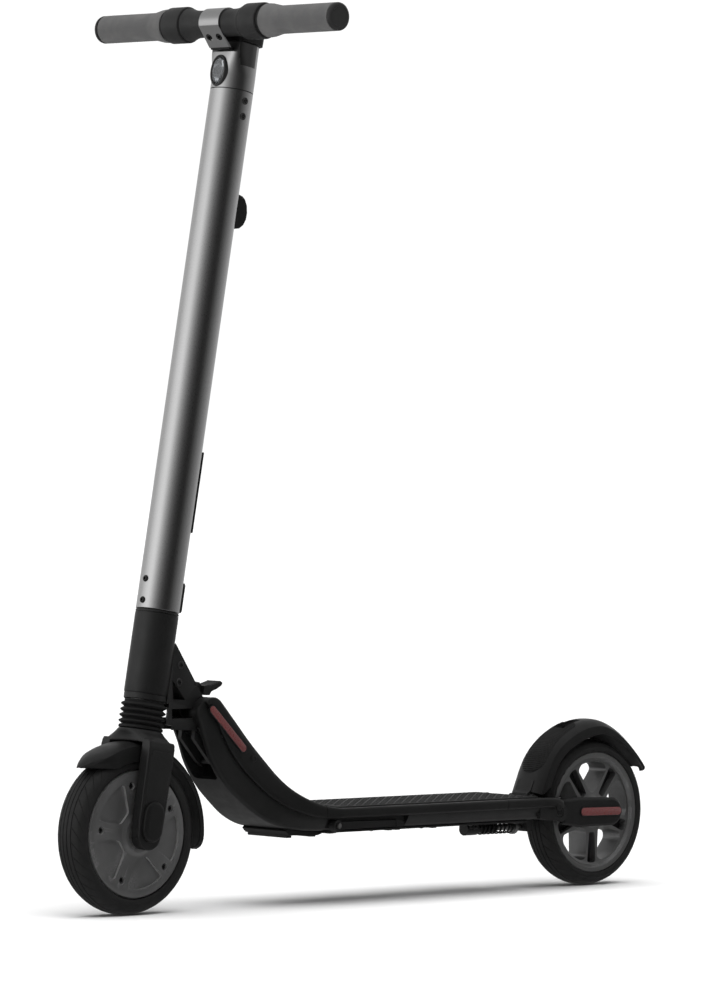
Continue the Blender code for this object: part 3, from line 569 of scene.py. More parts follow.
# ---- stem, head tube and bellows
def build_stem():
    r, c = STEM_R, 0.7                         # c is the chamfer at both ends
    tube = lathe([(TUBE_BORE, STEM_BOTTOM), (r - c, STEM_BOTTOM), (r, STEM_BOTTOM + c), (r, STEM_TOP - c),
                  (r - c, STEM_TOP), (TUBE_BORE, STEM_TOP)], 160, STEM)
    finish("stem_tube_brushed", tube, "steering", stands_for="stem_tube")
    for i, s in enumerate((286.5, 313)):
        screw(f"stem_front_screw_{i + 1}", STEM @ at(r - 0.3, 0, s) @ ALONG_X, 4.2, "steering")
    for side, tag in SIDES:
        for i, s in enumerate((899.5, 919)):
            face = STEM @ at(0, side * (r - 0.6), s) @ outward(side)
            washer(f"stem_side_washer_{tag}_{i + 1}", 2.6, 4.6, -1.2, 1.3, (0.5, 0.4), face, "steering",
                   GUNMETAL)
            screw(f"stem_side_screw_{tag}_{i + 1}", face @ at(0, 0, 0.3), 3.1, "steering", height=1.5)
    low, high = span("head_tube", STEM)
    s0, s1, r = low.z, high.z, high.y
    seam, groove = s0 + 7.5, s1 - 3.2          # heights of the two fine lines round the tube
    profile = [(STEERER_BORE, s0), (r - 1.4, s0), (r - 0.7, s0 + 0.6), (r - 0.5, seam - 0.5),
               (r - 1.1, seam - 0.2), (r - 1.1, seam + 0.3), (r - 0.3, seam + 0.7), (r, seam + 2),
               (r, groove - 0.6), (r - 0.8, groove - 0.3), (r - 0.8, groove + 0.4), (r - 0.1, groove + 0.7),
               (r - 0.1, s1 - 0.5), (r - 0.6, s1), (STEERER_BORE, s1)]
    finish("head_tube_coated", lathe(profile, 160, STEM), "fold_base", stands_for="head_tube", sharp=30)


def build_bellows():
    low, high = span("fork_bellows", STEM)
    s0, s1 = low.z, high.z
    folds, steps = 4, 14
    start, end = s0 + 4.6, s1 - 2.4            # heights between which the folds run
    valley, fold_depth, bore = 24.3, 4.2, STEERER_BORE
    outer = [(bore, s0), (27.2, s0), (27.6, s0 + 0.5), (27.6, s0 + 3), (26.4, s0 + 3.8)]
    for i in range(folds * steps + 1):
        t = i / steps
        wave = 0.5 - 0.5 * cos(2 * pi * t)
        outer.append((valley + fold_depth * wave ** 0.8, lerp(start, end, t / folds)))
    outer += [(24.6, s1 - 1.8), (24.6, s1), (bore, s1)]
    bellows = finish("fork_bellows_folds", lathe(outer, 128, STEM), "steering", stands_for="fork_bellows",
                     sharp=50)
    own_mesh(bellows)
    low, high = span("fork_spring", STEM)
    wire = 1.7
    rings = coil(high.x - wire, wire, low.z + wire, high.z - wire, 4, 40, 12, STEM)
    spring = finish("fork_spring_coil", rings, "steering", stands_for="fork_spring")
    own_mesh(spring)


# ---- tyres
GROOVES, GROOVE_DEPTH = (3.2, 9.5), 1       # distance of each thin groove from the middle of the tread
SIPE_STEPS, SIPE_SCALE, SIPE_DEPTH = (-1, -0.55, -0.3, 0, 0.3, 0.55, 1), 0.62, 1.7
LAND_STEPS, LAND_SPAN, SIPE_SPAN = (2.2, 3.6, 5), 5.6, 2


def groove_points(outline, lengths, middle):
    """Extra points (radius, height, distance from the middle) across each thin groove."""
    points = []
    for groove in GROOVES:
        for sign in (-1, 1):
            for off in (-0.62, -0.3, 0, 0.3, 0.62):
                d = sign * (groove + off * 1.1)
                k = next(j for j in range(len(lengths) - 1)
                         if lengths[j] - middle <= d <= lengths[j + 1] - middle)
                t = (d - (lengths[k] - middle)) / (lengths[k + 1] - lengths[k])
                (r0, h0), (r1, h1) = outline[k], outline[k + 1]
                points.append((lerp(r0, r1, t), lerp(h0, h1, t), d))
    return points


def build_tyre(name, node, body, axle, crown, pitch_count):
    """A tyre with rounds of curved sipes and thin grooves along the tread, all cut in the mesh."""
    low, high = span(node, axle)
    inner, half = RIM_R + GAP, (high.z - low.z) / 2 - 0.8
    outline = smooth_line([(inner, -half + 1.5), (inner + 1.6, -half - 0.1), (inner + 6, -half - 0.7),
                           (crown - 9, -half + 0.9), (crown - 4.6, -half * 0.80), (crown - 1.6,
                                                                                   -half * 0.5),
                           (crown - 0.35, -half * 0.22), (crown, 0)], 7)
    outline += [(r, -h) for r, h in reversed(outline[:-1])]
    lengths = running_lengths(outline)
    middle = lengths[-1] / 2
    dense = [(r, h, length - middle) for (r, h), length in zip(outline, lengths)]
    dense += groove_points(outline, lengths, middle)
    dense.sort(key=lambda p: p[2])
    pitch = 360 / pitch_count
    steps = [(step * SIPE_SCALE, abs(step) < 0.4) for step in SIPE_STEPS]
    steps += [(step * (pitch - SIPE_SPAN) / LAND_SPAN, False) for step in LAND_STEPS]
    rings = []
    for p in range(pitch_count):
        for t, in_sipe in steps:
            ring = []
            for r, h, d in dense:
                far = abs(d)
                swept = (far / 26) ** 1.6 * 17         # degrees that a sipe trails behind at the shoulder
                stagger = pitch / 2 if d < 0 else 0
                fade = clamp((far - 9.8) / 1.2) * clamp((36 - far) / 9)
                dip = SIPE_DEPTH * fade * in_sipe
                if any(abs(far - groove) < 0.4 for groove in GROOVES):
                    dip = max(dip, GROOVE_DEPTH)
                ring.append((*polar(r - dip, p * pitch + t + swept + stagger), h))
            ring.append((*polar(inner, p * pitch + t), 0))
            rings.append(ring)
    finish(name, loft(rings, axle, closed=True), body, stands_for=node, sharp=50)


# ---- front wheel
def build_front_wheel():
    build_tyre("front_tyre_tread", "front_tyre", "front_wheel", FRONT_AXLE, FRONT_R, 34)
    half, r = span("front_hub_motor", FRONT_AXLE)[1].z, RIM_R
    bore, pocket, bolt_circle = 7, 3.4, 61
    side = [(bore, half), (21, half), (23, half - 0.6), (26, half - 2.6), (29, half - 2.9),
            (70, half - 3),
            (74, half - 3.5), (77.5, half - 5), (r - 0.5, half - 7.4), (r, half - 8.5), (r, half - 10)]
    hub = lathe(both_ways(side), 180, FRONT_AXLE)
    for i in range(5):
        mid = 42.9 + 72 * i
        corners = [(31, -17), (67, -26.5), (67.6, -14), (67.6, 0), (67.6, 14), (67, 26.5), (31, 17)]
        outline = rounded([polar(rad, mid + swing) for rad, swing in corners], [4, 8, 12, 12, 12, 8, 4], 6)
        for y0, y1 in ((half - 3 - pocket, half + 3), (-half - 3, -half + 3 + pocket)):
            cut(hub, loft([[(x, -z, y0) for x, z in outline], [(x, -z, y1) for x, z in outline]],
                          FRONT_AXLE))
        x, z = polar(bolt_circle, mid + 36)
        bolt = FRONT_AXLE @ at(x, -z, 0)
        cut(hub, rod(4.6, half - 8, half + 2, 28, bolt), rod(4.6, -half - 2, -half + 8, 28, bolt))
        for sign, tag in SIDES:
            place = facing(bolt @ at(0, 0, sign * (half - 7.6)), sign)
            screw(f"hub_screw_{tag}_{i + 1}", place, 3.9, "front_wheel", height=2.4)
    obj = finish("front_hub_motor_cover", hub, "front_wheel", stands_for="front_hub_motor", bevel=1.1)
    # The pocket walls take the lighter copy of the grey paint: a painted highlight on the pocket edges.
    obj.data.materials.append(HUB_POCKET_PAINTED_HIGHLIGHT)
    axle = Vector((XF, 0, FRONT_R)) * MM
    for face in obj.data.polygons:
        c = (face.center - axle) / MM
        if 24 < hypot(c.x, c.z) < 72 and abs(face.normal.y) < 0.5:     # walls of the pockets: lighter copy of the grey paint, a painted highlight
            face.material_index = 1
    for sign, tag in SIDES:
        washer("front_axle_washer_" + tag, 6.4, 17, half + 0.2, half + 3.3, (0.8, 0.7),
               facing(FRONT_AXLE, sign), "fork", segments=64)


# ---- rear wheel
def build_rear_wheel():
    build_tyre("rear_tyre_tread", "rear_tyre", "rear_wheel", REAR_AXLE, REAR_R, 33)
    high = span("rear_wheel", REAR_AXLE)[1]
    half, hub, r, web = 20.5, high.z, high.x, 15.5     # half widths of the rim, hub and web, and the radius
    side = [(7, hub), (16, hub), (18, hub - 1), (19.5, web + 1.5), (22, web + 0.4), (66, web),
            (69.5, web + 0.6), (72, half - 0.8), (73.5, half), (r - 1, half), (r, half - 1)]
    wheel = lathe(both_ways(side), 180, REAR_AXLE)
    window = [(25.5, -9), (61.5, -26.2), (67, -19), (68.6, 0), (67, 19), (61.5, 26.2), (25.5, 9)]
    channel = [(27, -10.5), (66.6, -6.8), (67.8, 0), (66.6, 6.8), (27, 10.5)]
    place = at(XR, 0, REAR_R)
    for i in range(5):
        mid = 90 + 72 * i
        outline = rounded([polar(rad, mid + swing) for rad, swing in window], [4, 6, 9, 14, 9, 6, 4], 7)
        cut(wheel, prism(outline, -30, 30, place))
        mid += 36
        outline = rounded([polar(rad, mid + swing) for rad, swing in channel], [2.5, 3, 6, 3, 2.5], 5)
        cut(wheel, prism(outline, 5.5, 30, place), prism(outline, -30, -5.5, place))
    obj = finish("rear_wheel_alloy", wheel, "rear_wheel", stands_for="rear_wheel", bevel=0.9)
    obj.data.materials.append(WHEEL_DARK)
    obj.data.materials.append(MACHINED)
    axle = Vector((XR, 0, REAR_R)) * MM
    for face in obj.data.polygons:
        c = (face.center - axle) / MM
        rad, off = hypot(c.x, c.z), abs((math.degrees(atan2(c.z, c.x)) - 90 + 36) % 72 - 36)
        if abs(face.normal.y) > 0.9 and abs(c.y) > web - 1:
            face.material_index = 2 if rad > 20 else 0
        elif off > 25 and 25 < rad < 68.2 and abs(c.y) < web - 0.2 and abs(face.normal.y) > 0.5:
            face.material_index = 1                    # floors of the channels
    for sign, tag in SIDES:
        washer("rear_bearing_seal_" + tag, 7, 13.5, 24.1, 25.4, (0.7, 0.5), facing(REAR_AXLE, sign),
               "rear_wheel", BLACK_STEEL, 56)


# ---- fork and front fender
def build_fork():
    top = span("fork_bellows", STEM)[0].z - 1
    sections = ((112, 23.5, 45, 3.2), (117, 24.3, 42.5, 2.9), (120.5, 25.3, 37, 2.6), (124, 27, 31, 2.3),
                (top - 1.2, 28, 28, 2), (top, 27.6, 27.6, 2))
    crown = loft([superring(s, -reach, reach, half, power=power) for s, reach, half, power in sections],
                 STEM)
    for side in (-1, 1):
        leg = [(-21.3, 116), (-20.3, 20)] + arc(0, 0, 18.4, 180, 360, 30) + [(20.3, 20), (21.3, 116)]
        fuse(crown, prism(leg, *between(side, 29.6, 44.8), STEM))
    for side in (-1, 1):
        shoulder = [(28.9, 129), (31.5, 126), (38, 121), (43.4, 113.5), (45.7, 103), (60, 103),
                    (60, 129)]
        cut(crown, loft([[(u, side * v, s) for v, s in shoulder] for u in (-40, 40)], STEM))
    remesh = crown.modifiers.new("cast", "REMESH")
    remesh.mode, remesh.voxel_size = "VOXEL", 0.85
    smooth = crown.modifiers.new("fillets", "SMOOTH")
    smooth.factor, smooth.iterations = 0.5, 7
    mesh = bpy.data.meshes.new_from_object(crown.evaluated_get(bpy.context.evaluated_depsgraph_get()))
    crown.modifiers.clear()
    crown.data = mesh
    cut(crown, rod(6.6, -60, 60, 40, FRONT_AXLE))
    finish("fork_casting", crown, "fork", stands_for="fork", sharp=55)
    for side, tag in SIDES:
        outline = rounded([(-15.5, 34), (15.5, 34), (17.8, 96), (15, 103), (-15, 103), (-17.8, 96)],
                          [3, 3, 5, 5, 5, 5], 6)
        panel = prism(outline, *between(side, 43, 45.5), STEM)
        finish("fork_leg_panel_" + tag, panel, "fork", slot="black_metal", bevel=0.5)
        rings = []
        for r, y in ((15.4, 45.6), (15.4, 48.6), (14.6, 49.4), (10.6, 51.4)):
            rings.append([(u, side * y, s) for u, s in capsule(0, 7, 0, 26, r, 18)])
        finish("axle_cover_cap_" + tag, loft(rings, STEM), "fork", stands_for="axle_cover_" + tag,
               bevel=0.5)


def build_front_fender():
    """Mudguard round the front tyre; its front end narrows to a beak with a level lower edge."""
    top, full_half, tip, tail, count = 113.6, 26, 46.5, 192, 110     # tip and tail in degrees
    front_skirt, rear_skirt = 24, 12
    tip_height = top * sin(radians(tip)) + 2
    rings = []
    for i in range(count + 1):
        degrees = lerp(tip, tail, i / count)
        a = radians(degrees)
        opened, closing = clamp((degrees - tip) / 20), min((tail - degrees) / 9, 1)
        half = full_half * (0.14 + 0.86 * sin(opened * pi / 2) ** 0.9)
        half *= 0.55 + 0.45 * sqrt(max(1 - (1 - closing) ** 2, 0))
        lift = 2 * (1 - opened)
        drop = lerp(front_skirt, rear_skirt, clamp((degrees - 86) / 26))
        if degrees < 90:
            drop = min((top * sin(a) - tip_height) / sin(a) + 2.6 + lift, drop)
        outer = [(-half + 0.3, -drop), (-half, -drop + 0.4), (-half, -max(0.60 * drop, drop - 8)),
                 (-half, -0.5 * drop), (-half * 0.93, -min(0.42 * drop, 5.4)),
                 (-half * 0.78, -min(0.20 * drop, 2.8)), (-half * 0.5, -min(0.07 * drop, 0.9)),
                 (-half * 0.22, -0.1), (0, 0)]
        outer += [(-y, h) for y, h in outer[-2::-1]]
        wall = min(1.8, 0.4 * half)
        inner = [(y * (half - wall) / half, max(h - min(2.2, 0.6 * drop), -drop + 0.1))
                 for y, h in reversed(outer)]
        r = top + lift
        rings.append([(XF + (r + h) * cos(a), y, FRONT_R + (r + h) * sin(a)) for y, h in outer + inner])
    finish("front_fender_shell", loft(rings), "fork", stands_for="front_fender", sharp=30)


# ---- neck, deck and side trims
END, END_R, SLOPE = (300, 247), 19, radians(47)
DECK_TOP, DECK_BOTTOM, DECK_HALF, NECK_HALF = 122.5, 94.5, 62, 33
NECK = [    # top point, bottom point, half width at the top and at the bottom
    ((262, 234.8), (303, 210), NECK_HALF, 28), ((238, 209.8), (289, 180.5), NECK_HALF, 30),
    ((216, 187.5), (267, 152.5), 35, 32), ((194, 165), (241, 130.5), 39, 35),
    ((176, 149.5), (215, 113), 44.5, 39), ((156, 137), (186, 101), 52, 43),
    ((134, 128), (154, 96), 58, 48), ((108, DECK_TOP + 0.8), (118, DECK_BOTTOM),
                                                  DECK_HALF - 0.8, 51),
    ((84, DECK_TOP), (86, DECK_BOTTOM), DECK_HALF, 52), ((30, DECK_TOP), (30, DECK_BOTTOM),
                                                               DECK_HALF, 52),
    ((-274, DECK_TOP), (-274, DECK_BOTTOM), DECK_HALF, 52)]


def neck_end(phi):
    """Top and bottom point of the neck's round end, phi degrees round it, with the half widths there."""
    along, across = (cos(SLOPE), sin(SLOPE)), (-sin(SLOPE), cos(SLOPE))
    c, s = polar(END_R, phi)
    return ((END[0] + c * across[0] + s * along[0], END[1] + c * across[1] + s * along[1]),
            (END[0] - c * across[0] + s * along[0], END[1] - c * across[1] + s * along[1]),
            NECK_HALF, NECK_HALF - 3)


def stations():
    """Smooth stations (top x, top z, bottom x, bottom z, top half width, bottom half width)."""
    ends = [(*t, *b, w0, w1) for t, b, w0, w1 in map(neck_end, (84, 72, 60, 48, 36, 24, 12, 0))]
    flat = [ends[-1]] + [(*t, *b, w0, w1) for t, b, w0, w1 in NECK]
    return ends[:-1] + smooth_line(flat[:-1], 7) + [flat[-1]]


def build_frame():
    rings = []
    for tx, tz, bx, bz, w0, w1 in stations():
        length = hypot(bx - tx, bz - tz)
        flat = [(0, w0), (length * 0.5, w0), (length, w1), (length, -w1), (length * 0.5, -w0), (0, -w0)]
        soft = rounded(flat, [4, 9, 5.5, 5.5, 9, 4], 6)
        rings.append([(lerp(tx, bx, h / length), y, lerp(tz, bz, h / length)) for h, y in soft])
    body = loft(rings)
    slot = arc(FOLD.x, FOLD.z, 17.5, 220, 360, 18) + [(340, 222), (350, 300), (230, 300), (230, 212)]
    cut(body, prism(slot, -19, 19))
    recess = [(340, 225), (259, 228)] + arc(272, 182, 17, 165, 268, 18) + [(310, 140)]
    plan = []
    for y, inset in ((-22, 5), (-20, 1.6), (-16, 0), (16, 0), (20, 1.6), (22, 5)):
        plan.append([(x + inset * 0.7, y, z + inset * 0.7) for x, z in recess])
    cut(body, loft(plan))
    cut(body, box(-20, 122, 53.5, 80, 80, 110))
    for side in (-1, 1):
        y0, y1 = between(side, 55.5, DECK_HALF - 0.5)
        fuse(body, prism([(-262, 96), (-262, 120.5), (-300, 118)] + arc(ARM.x, ARM.z, 13, 90, 250, 20)[1:],
                         y0, y1))
        cut(body, rod(6.4, *between(side, 50, 70), 40, at(ARM.x, 0, ARM.z) @ ALONG_Y))
    finish("neck_and_deck_casting", body, "deck", stands_for="neck_and_deck_frame", bevel=1, sharp=40)


def build_trims():
    depth = [0.5, 0.5, 0.5, 0.5, 0.5, 0.5, 0.5, 0.5, 0.56, 0.56, 0.54, 0.52, 0.5, 0.48, 0.47, 0.46, 0.45,
             0.45, 0.45, 0.47, 0.55]
    ends = [neck_end(phi) for phi in (80, 70, 59, 47, 35, 23, 11, 0)]
    keys = ends + NECK + [((-292, DECK_TOP - 0.6), (-292, DECK_BOTTOM), DECK_HALF, 52),
                          ((-303, DECK_TOP - 5), (-303, DECK_BOTTOM + 6), DECK_HALF, 52)]
    flat = [(*t, *b, w0, f) for (t, b, w0, _), f in zip(keys, depth)]
    flat = flat[:7] + smooth_line(flat[7:-3], 7) + flat[-3:]
    for side, tag in SIDES:
        rings = []
        for i, (tx, tz, bx, bz, w, f) in enumerate(flat):
            over = lerp(1.5, 2.6, clamp((w - 50) / 11)) * 0.3
            d = hypot(bx - tx, bz - tz)
            t = Vector((tx - (bx - tx) / d * over, tz - (bz - tz) / d * over))
            m = Vector((lerp(tx, bx, f - 0.03), lerp(tz, bz, f - 0.03)))
            reach = (m - t).length
            shrink = 1 if 0 < i < len(flat) - 1 else 0.55
            inner, outer = w + GAP, w + 6 * shrink
            flat_ring = [(0, inner), (0, outer - 2.2), (0.16 * reach, outer - 0.2), (0.5 * reach, outer),
                         (0.84 * reach, outer - 0.2), (reach, outer - 1.9), (reach, inner)]
            soft = rounded(flat_ring, [0.3, 1.4, 3, 3.5, 3, 1.2, 0.3], 4)
            rings.append([(lerp(t.x, m.x, h / reach), side * y, lerp(t.y, m.y, h / reach))
                          for h, y in soft])
        trim = loft(rings)
        for x, z, y in ((128, 116, 61), (-196, 112, 64)):            # parting lines across the trim
            cut(trim, box(x - 0.35, x + 0.35, *between(side, y, 80), z - 30, z + 30))
        finish("side_trim_shell_" + tag, trim, "deck", stands_for="side_trim_" + tag, sharp=34)
        for i, (x, z, w) in enumerate(((233.2, 188.4, NECK_HALF + 1.5), (-290.5, 110.5, DECK_HALF))):
            place = at(x, side * (w + 5.2), z) @ outward(side)
            cap = lathe([(0, -1), (4.6, -1), (4.6, 0.9), (4.2, 1.25), (3.3, 1.3), (3.1, 0.95), (0, 0.95)],
                        48, place)
            finish(f"trim_cap_{tag}_{i + 1}", cap, "deck", slot="black_plastic", sharp=30)


def build_reflectors():
    places = (("neck", "deck", (303, 251, 250.5, 202), 4.6),
              ("tail", "rear_arm", (-352, 101.5, -418, 100.5), 5.2))
    for side, tag in SIDES:
        for kind, body, ends, r in places:
            low, high = span(f"{kind}_reflector_{tag}")
            y0, y1 = (low.y, high.y) if side > 0 else (high.y, low.y)
            lip = lerp(y0, y1, 0.62)

            def outline(radius, y):
                return [(x, y, z) for x, z in capsule(*ends, radius, 20)]

            rings = [outline(r - inset, lerp(y0, y1, t))
                     for inset, t in ((0, 0), (0, 0.55), (0.35, 0.85), (1, 1))]
            if side < 0:
                rings.reverse()
            finish(f"{kind}_reflector_lens_{tag}", loft(rings), body, stands_for=f"{kind}_reflector_{tag}",
                   sharp=40)
            rim = loft([outline(r + 1.1, y0), outline(r + 1.1, lip), outline(r + 0.25, lip),
                        outline(r + 0.25, y0)], closed=True)
            finish(f"{kind}_reflector_rim_{tag}", rim, body, slot="black_plastic", sharp=40)


# ---- mat, bottom cover, kickstand
def build_mat():
    line = [(-262, DECK_TOP, 57), (60, DECK_TOP, 57), (84, DECK_TOP, 57), (108, DECK_TOP + 0.8, 56),
            (134, 128, 52), (150, 134.2, 47)]                        # x, z and half width
    rings = []
    for x, z, w in smooth_line(line, 8):
        section = rounded([(-w, 0.4), (-w + 0.8, 2.3), (w - 0.8, 2.3), (w, 0.4)], [0.1, 1, 1, 0.1], 3)
        rings.append([(x, y, z + h) for y, h in section])
    finish("deck_mat_base", loft(rings), "deck", stands_for="deck_mat", sharp=40)
    verts, faces = [], []
    top, rise, row_pitch, pitch, last = DECK_TOP + 2.2, 0.55, 6.1, 14, 84
    for row in range(-8, 9):
        y = row * row_pitch
        shift = pitch / 2 if row % 2 else 0
        for k in range(24):
            x = -250 + k * pitch + shift
            if x > last:
                continue
            base = len(verts)
            foot, cap = capsule(x - 3.4, y, x + 3.4, y, 1.75, 4), capsule(x - 3.2, y, x + 3.2, y, 1.15, 4)
            n = len(foot)
            verts += [(px, py, top) for px, py in foot] + [(px, py, top + rise) for px, py in cap]
            faces += [(base + j, base + (j + 1) % n, base + n + (j + 1) % n,
                       base + n + j) for j in range(n)]
            faces.append(tuple(range(base + n, base + 2 * n)))
            faces.append(tuple(range(base + n - 1, base - 1, -1)))
    finish("deck_mat_studs", solid(verts, faces), "deck", slot="black_rubber", sharp=30)


def build_underside():
    for i, (x, y) in enumerate([(x, y) for x in (-235, -150, -60, 30, 95) for y in (-44, 44)]):
        screw(f"cover_screw_{i + 1}", at(x, y, 91.6) @ turn(180, "X"), 2.6, "deck", height=1.2)
    outline = rounded([(-11, 98.2), (-6.8, 103.6), (4, 105.6), (6, 105.6), (6, 96.1), (-4.5, 96.1)], 1.5,
                      4)
    foot = prism(outline, 55.9, 65.1)
    finish("kickstand_foot", foot, "kickstand", slot="black_rubber", bevel=0.7)


# ---- rear: arm, covers, shock, fender, foot pad
def build_rear_arm():
    low, high = span("rear_shock_spring")
    r, wire = (high.y - low.y) / 2 - 1.1, 1.1
    lying = Matrix(((0, 0, 1, 0), (1, 0, 0, 0), (0, 1, 0, (low.z + high.z) / 2), (0, 0, 0, 1)))
    spring = coil(r, wire, high.x - wire, low.x + wire, 8, 36, 10, lying)
    finish("rear_shock_coil", spring, "deck", BLACK_STEEL, stands_for="rear_shock_spring")
    cap = [(0, 60.8), (5.6, 60.8), (5.6, 61.6), (5, 62.2), (3, 62.3), (2.6, 61.8), (0, 61.8)]
    for side, tag in SIDES:
        screw(f"shock_bolt_{tag}", at(-192, side * 10, 86) @ outward(side), 4, "deck", height=2.6)
        piece = lathe(cap, 40, at(ARM.x, 0, ARM.z) @ outward(side))
        finish("arm_pivot_cap_" + tag, piece, "deck", BLACK_STEEL, slot="steel", sharp=30)


FENDER = [(-291.5, 128), (-297.5, 142), (-304.5, 157.5), (-313, 172.5), (-324, 186),
          (-338, 197.5),
          (-354, 206.5), (-371, 213.5), (-388, 218.2), (-406, 220.3), (-423, 218.8), (-440,
                                                                                                213.2),
          (-456, 204.7), (-472, 193), (-488, 179.3), (-501, 166), (-510, 155)]
FENDER_HALF = 27.5
SLOT_FRONT, SLOT_REAR, SLOT_HALF = -358.5, -393, 7.5     # opening in the fender for the stem's hook


def fender_frames(steps):
    """Points and outward normals along the rear fender's middle line."""
    path = smooth_line(FENDER, steps)
    frames = []
    for i, (x, z) in enumerate(path):
        (x0, z0), (x1, z1) = path[max(i - 1, 0)], path[min(i + 1, len(path) - 1)]
        d = hypot(x1 - x0, z1 - z0)
        frames.append((x, z, (z1 - z0) / d, -(x1 - x0) / d))
    return frames


def fender_height(y):
    """Crown of the fender's section, measured down from its middle line."""
    return -9.5 * (abs(y) / FENDER_HALF) ** 2.6


def latch_opening(margin):
    x0, x1, half = SLOT_REAR - margin, SLOT_FRONT + margin, SLOT_HALF + margin
    outline = rounded([(x0, -half), (x0, half), (x1, half), (x1, -half)], 2.5, 5)
    return loft([[(x, y, z) for x, y in outline] for z in (185, 240)])


def build_rear_fender():
    frames = fender_frames(7)
    count, wall = len(frames) - 1, 2.4
    rings = []
    for i, (x, z, nx, nz) in enumerate(frames):
        t = i / count
        w = FENDER_HALF * min(1, 0.60 + 2.2 * sqrt(max(1 - t, 0)))
        drop = lerp(11, 22, min(t * 16, 1)) if t < 0.5 else lerp(22, 10.5, (t - 0.5) / 0.5)
        low = max(-12.5, -drop + 1.6)
        crown = [(w * f,
                  fender_height(FENDER_HALF * f)) for f in [-0.985 + 1.97 * j / 20 for j in range(21)]]
        outer = [(-w + 0.7, -drop), (-w, -drop + 0.9), (-w, low)] + crown
        outer += [(w, low), (w, -drop + 0.9), (w - 0.7, -drop)]
        inner = [(y * (w - wall) / w, max(h - wall, -drop + 0.2)) for y, h in reversed(outer[2:-2])]
        inner = [(w - 2, -drop)] + inner + [(-w + 2, -drop)]
        rings.append([(x + nx * h, y, z + nz * h) for y, h in outer + inner])
    shell = loft(rings)
    knuckle = arc(HINGE.x, HINGE.z, 5.8, 180, 360, 20)
    knuckle += [(-286.6, 126), (-292.5, 129.5), (-298.3, 142.5), (-303, 141), (-299.5, 128)]
    fuse(shell, prism(knuckle, -14, 14))
    cut(shell, rod(3.3, -30, 30, 24, at(HINGE.x, 0, HINGE.z) @ ALONG_Y), latch_opening(0))
    finish("rear_fender_shell", shell, "fender_brake", stands_for="rear_fender", sharp=34)


def build_foot_pad():
    """Ribbed rubber pad set over the fender's front and top, round the latch opening."""
    frames = fender_frames(46)
    lengths = running_lengths([frame[:2] for frame in frames])
    start, end, half, pitch, across = 26, 132, 20, 2.9, 20
    rings = []
    for (x, z, nx, nz), d in zip(frames, lengths):
        if not start <= d <= end:
            continue
        e0, e1 = min((d - start) / half, 1), min((end - d) / (half * 0.6), 1)
        w = half * sqrt(max(1 - (1 - e0) ** 2, 0.006)) * sqrt(max(1 - (1 - e1) ** 2, 0.006))
        w *= lerp(1, 0.86, clamp((d - 60) / 60))
        edge = max(min(1, (d - start) / 3, (end - d) / 3), 0)
        rib = 0.5 + 0.5 * cos(2 * pi * d / pitch)
        top, foot = [], []
        for j in range(across + 1):
            y = lerp(-w, w, j / across)
            inside = max(0, 1 - (abs(y) / max(w, 1)) ** 10) * edge
            top.append((y, fender_height(y) + 0.3 + (0.35 + 1 * rib) * inside))
            foot.append((y, fender_height(y) - 0.8))
        rings.append([(x + nx * h, y, z + nz * h) for y, h in top + foot[::-1]])
    pad = loft(rings)
    cut(pad, latch_opening(1.6))
    finish("foot_brake_pad_ribbed", pad, "fender_brake", stands_for="foot_brake_pad", sharp=50)


# ---- fold bracket, pedal
def build_fold():
    for side, tag in SIDES:
        for i, (x, z) in enumerate(((338.1, 306.1), (340.8, 284.8))):
            place = at(x, side * 17.6, z) @ outward(side)
            washer(f"bracket_washer_{tag}_{i + 1}", 2.4, 5, 0, 1.4, (0.5, 0.5), place, "fold_base",
                   GUNMETAL)
            screw(f"bracket_bolt_{tag}_{i + 1}", place @ at(0, 0, 0.6), 3.4, "fold_base", height=1.7)
    first, pitch = 265.5, 3.4                  # ribs across the pedal, from its tip
    for i in range(7):
        x = first + i * pitch
        z = 283.9 if i == 0 else lerp(283.6, 279.5, min((x - first) / 16, 1))
        rib = loft([[(x + u, y, z + h) for u, h in arc(0, -0.3, 1.1, 180, 0, 8)] for y in (-12, 12)])
        finish(f"pedal_rib_{i + 1}", rib, "fold_pedal", slot="black_metal", sharp=60)


# ---- stem head, headlight, clamp
HEAD_LIP, BLOCK_TOP, LAMP_S = 977, 990.5, 952.8          # heights along the steering axis
SQUARE_FROM, HEAD_R, HEAD_BACK, LIP_BACK = 950, 27, 26.8, 20.5


def head_ring(s, front, half, power):
    """Round behind, a superellipse of the given power in front."""
    points = [squircle(a, front, half, power) if cos(a) > 0 else squircle(a, HEAD_BACK, half, 2)
              for a in angles(112)]
    return [(u, v, s) for u, v in points]


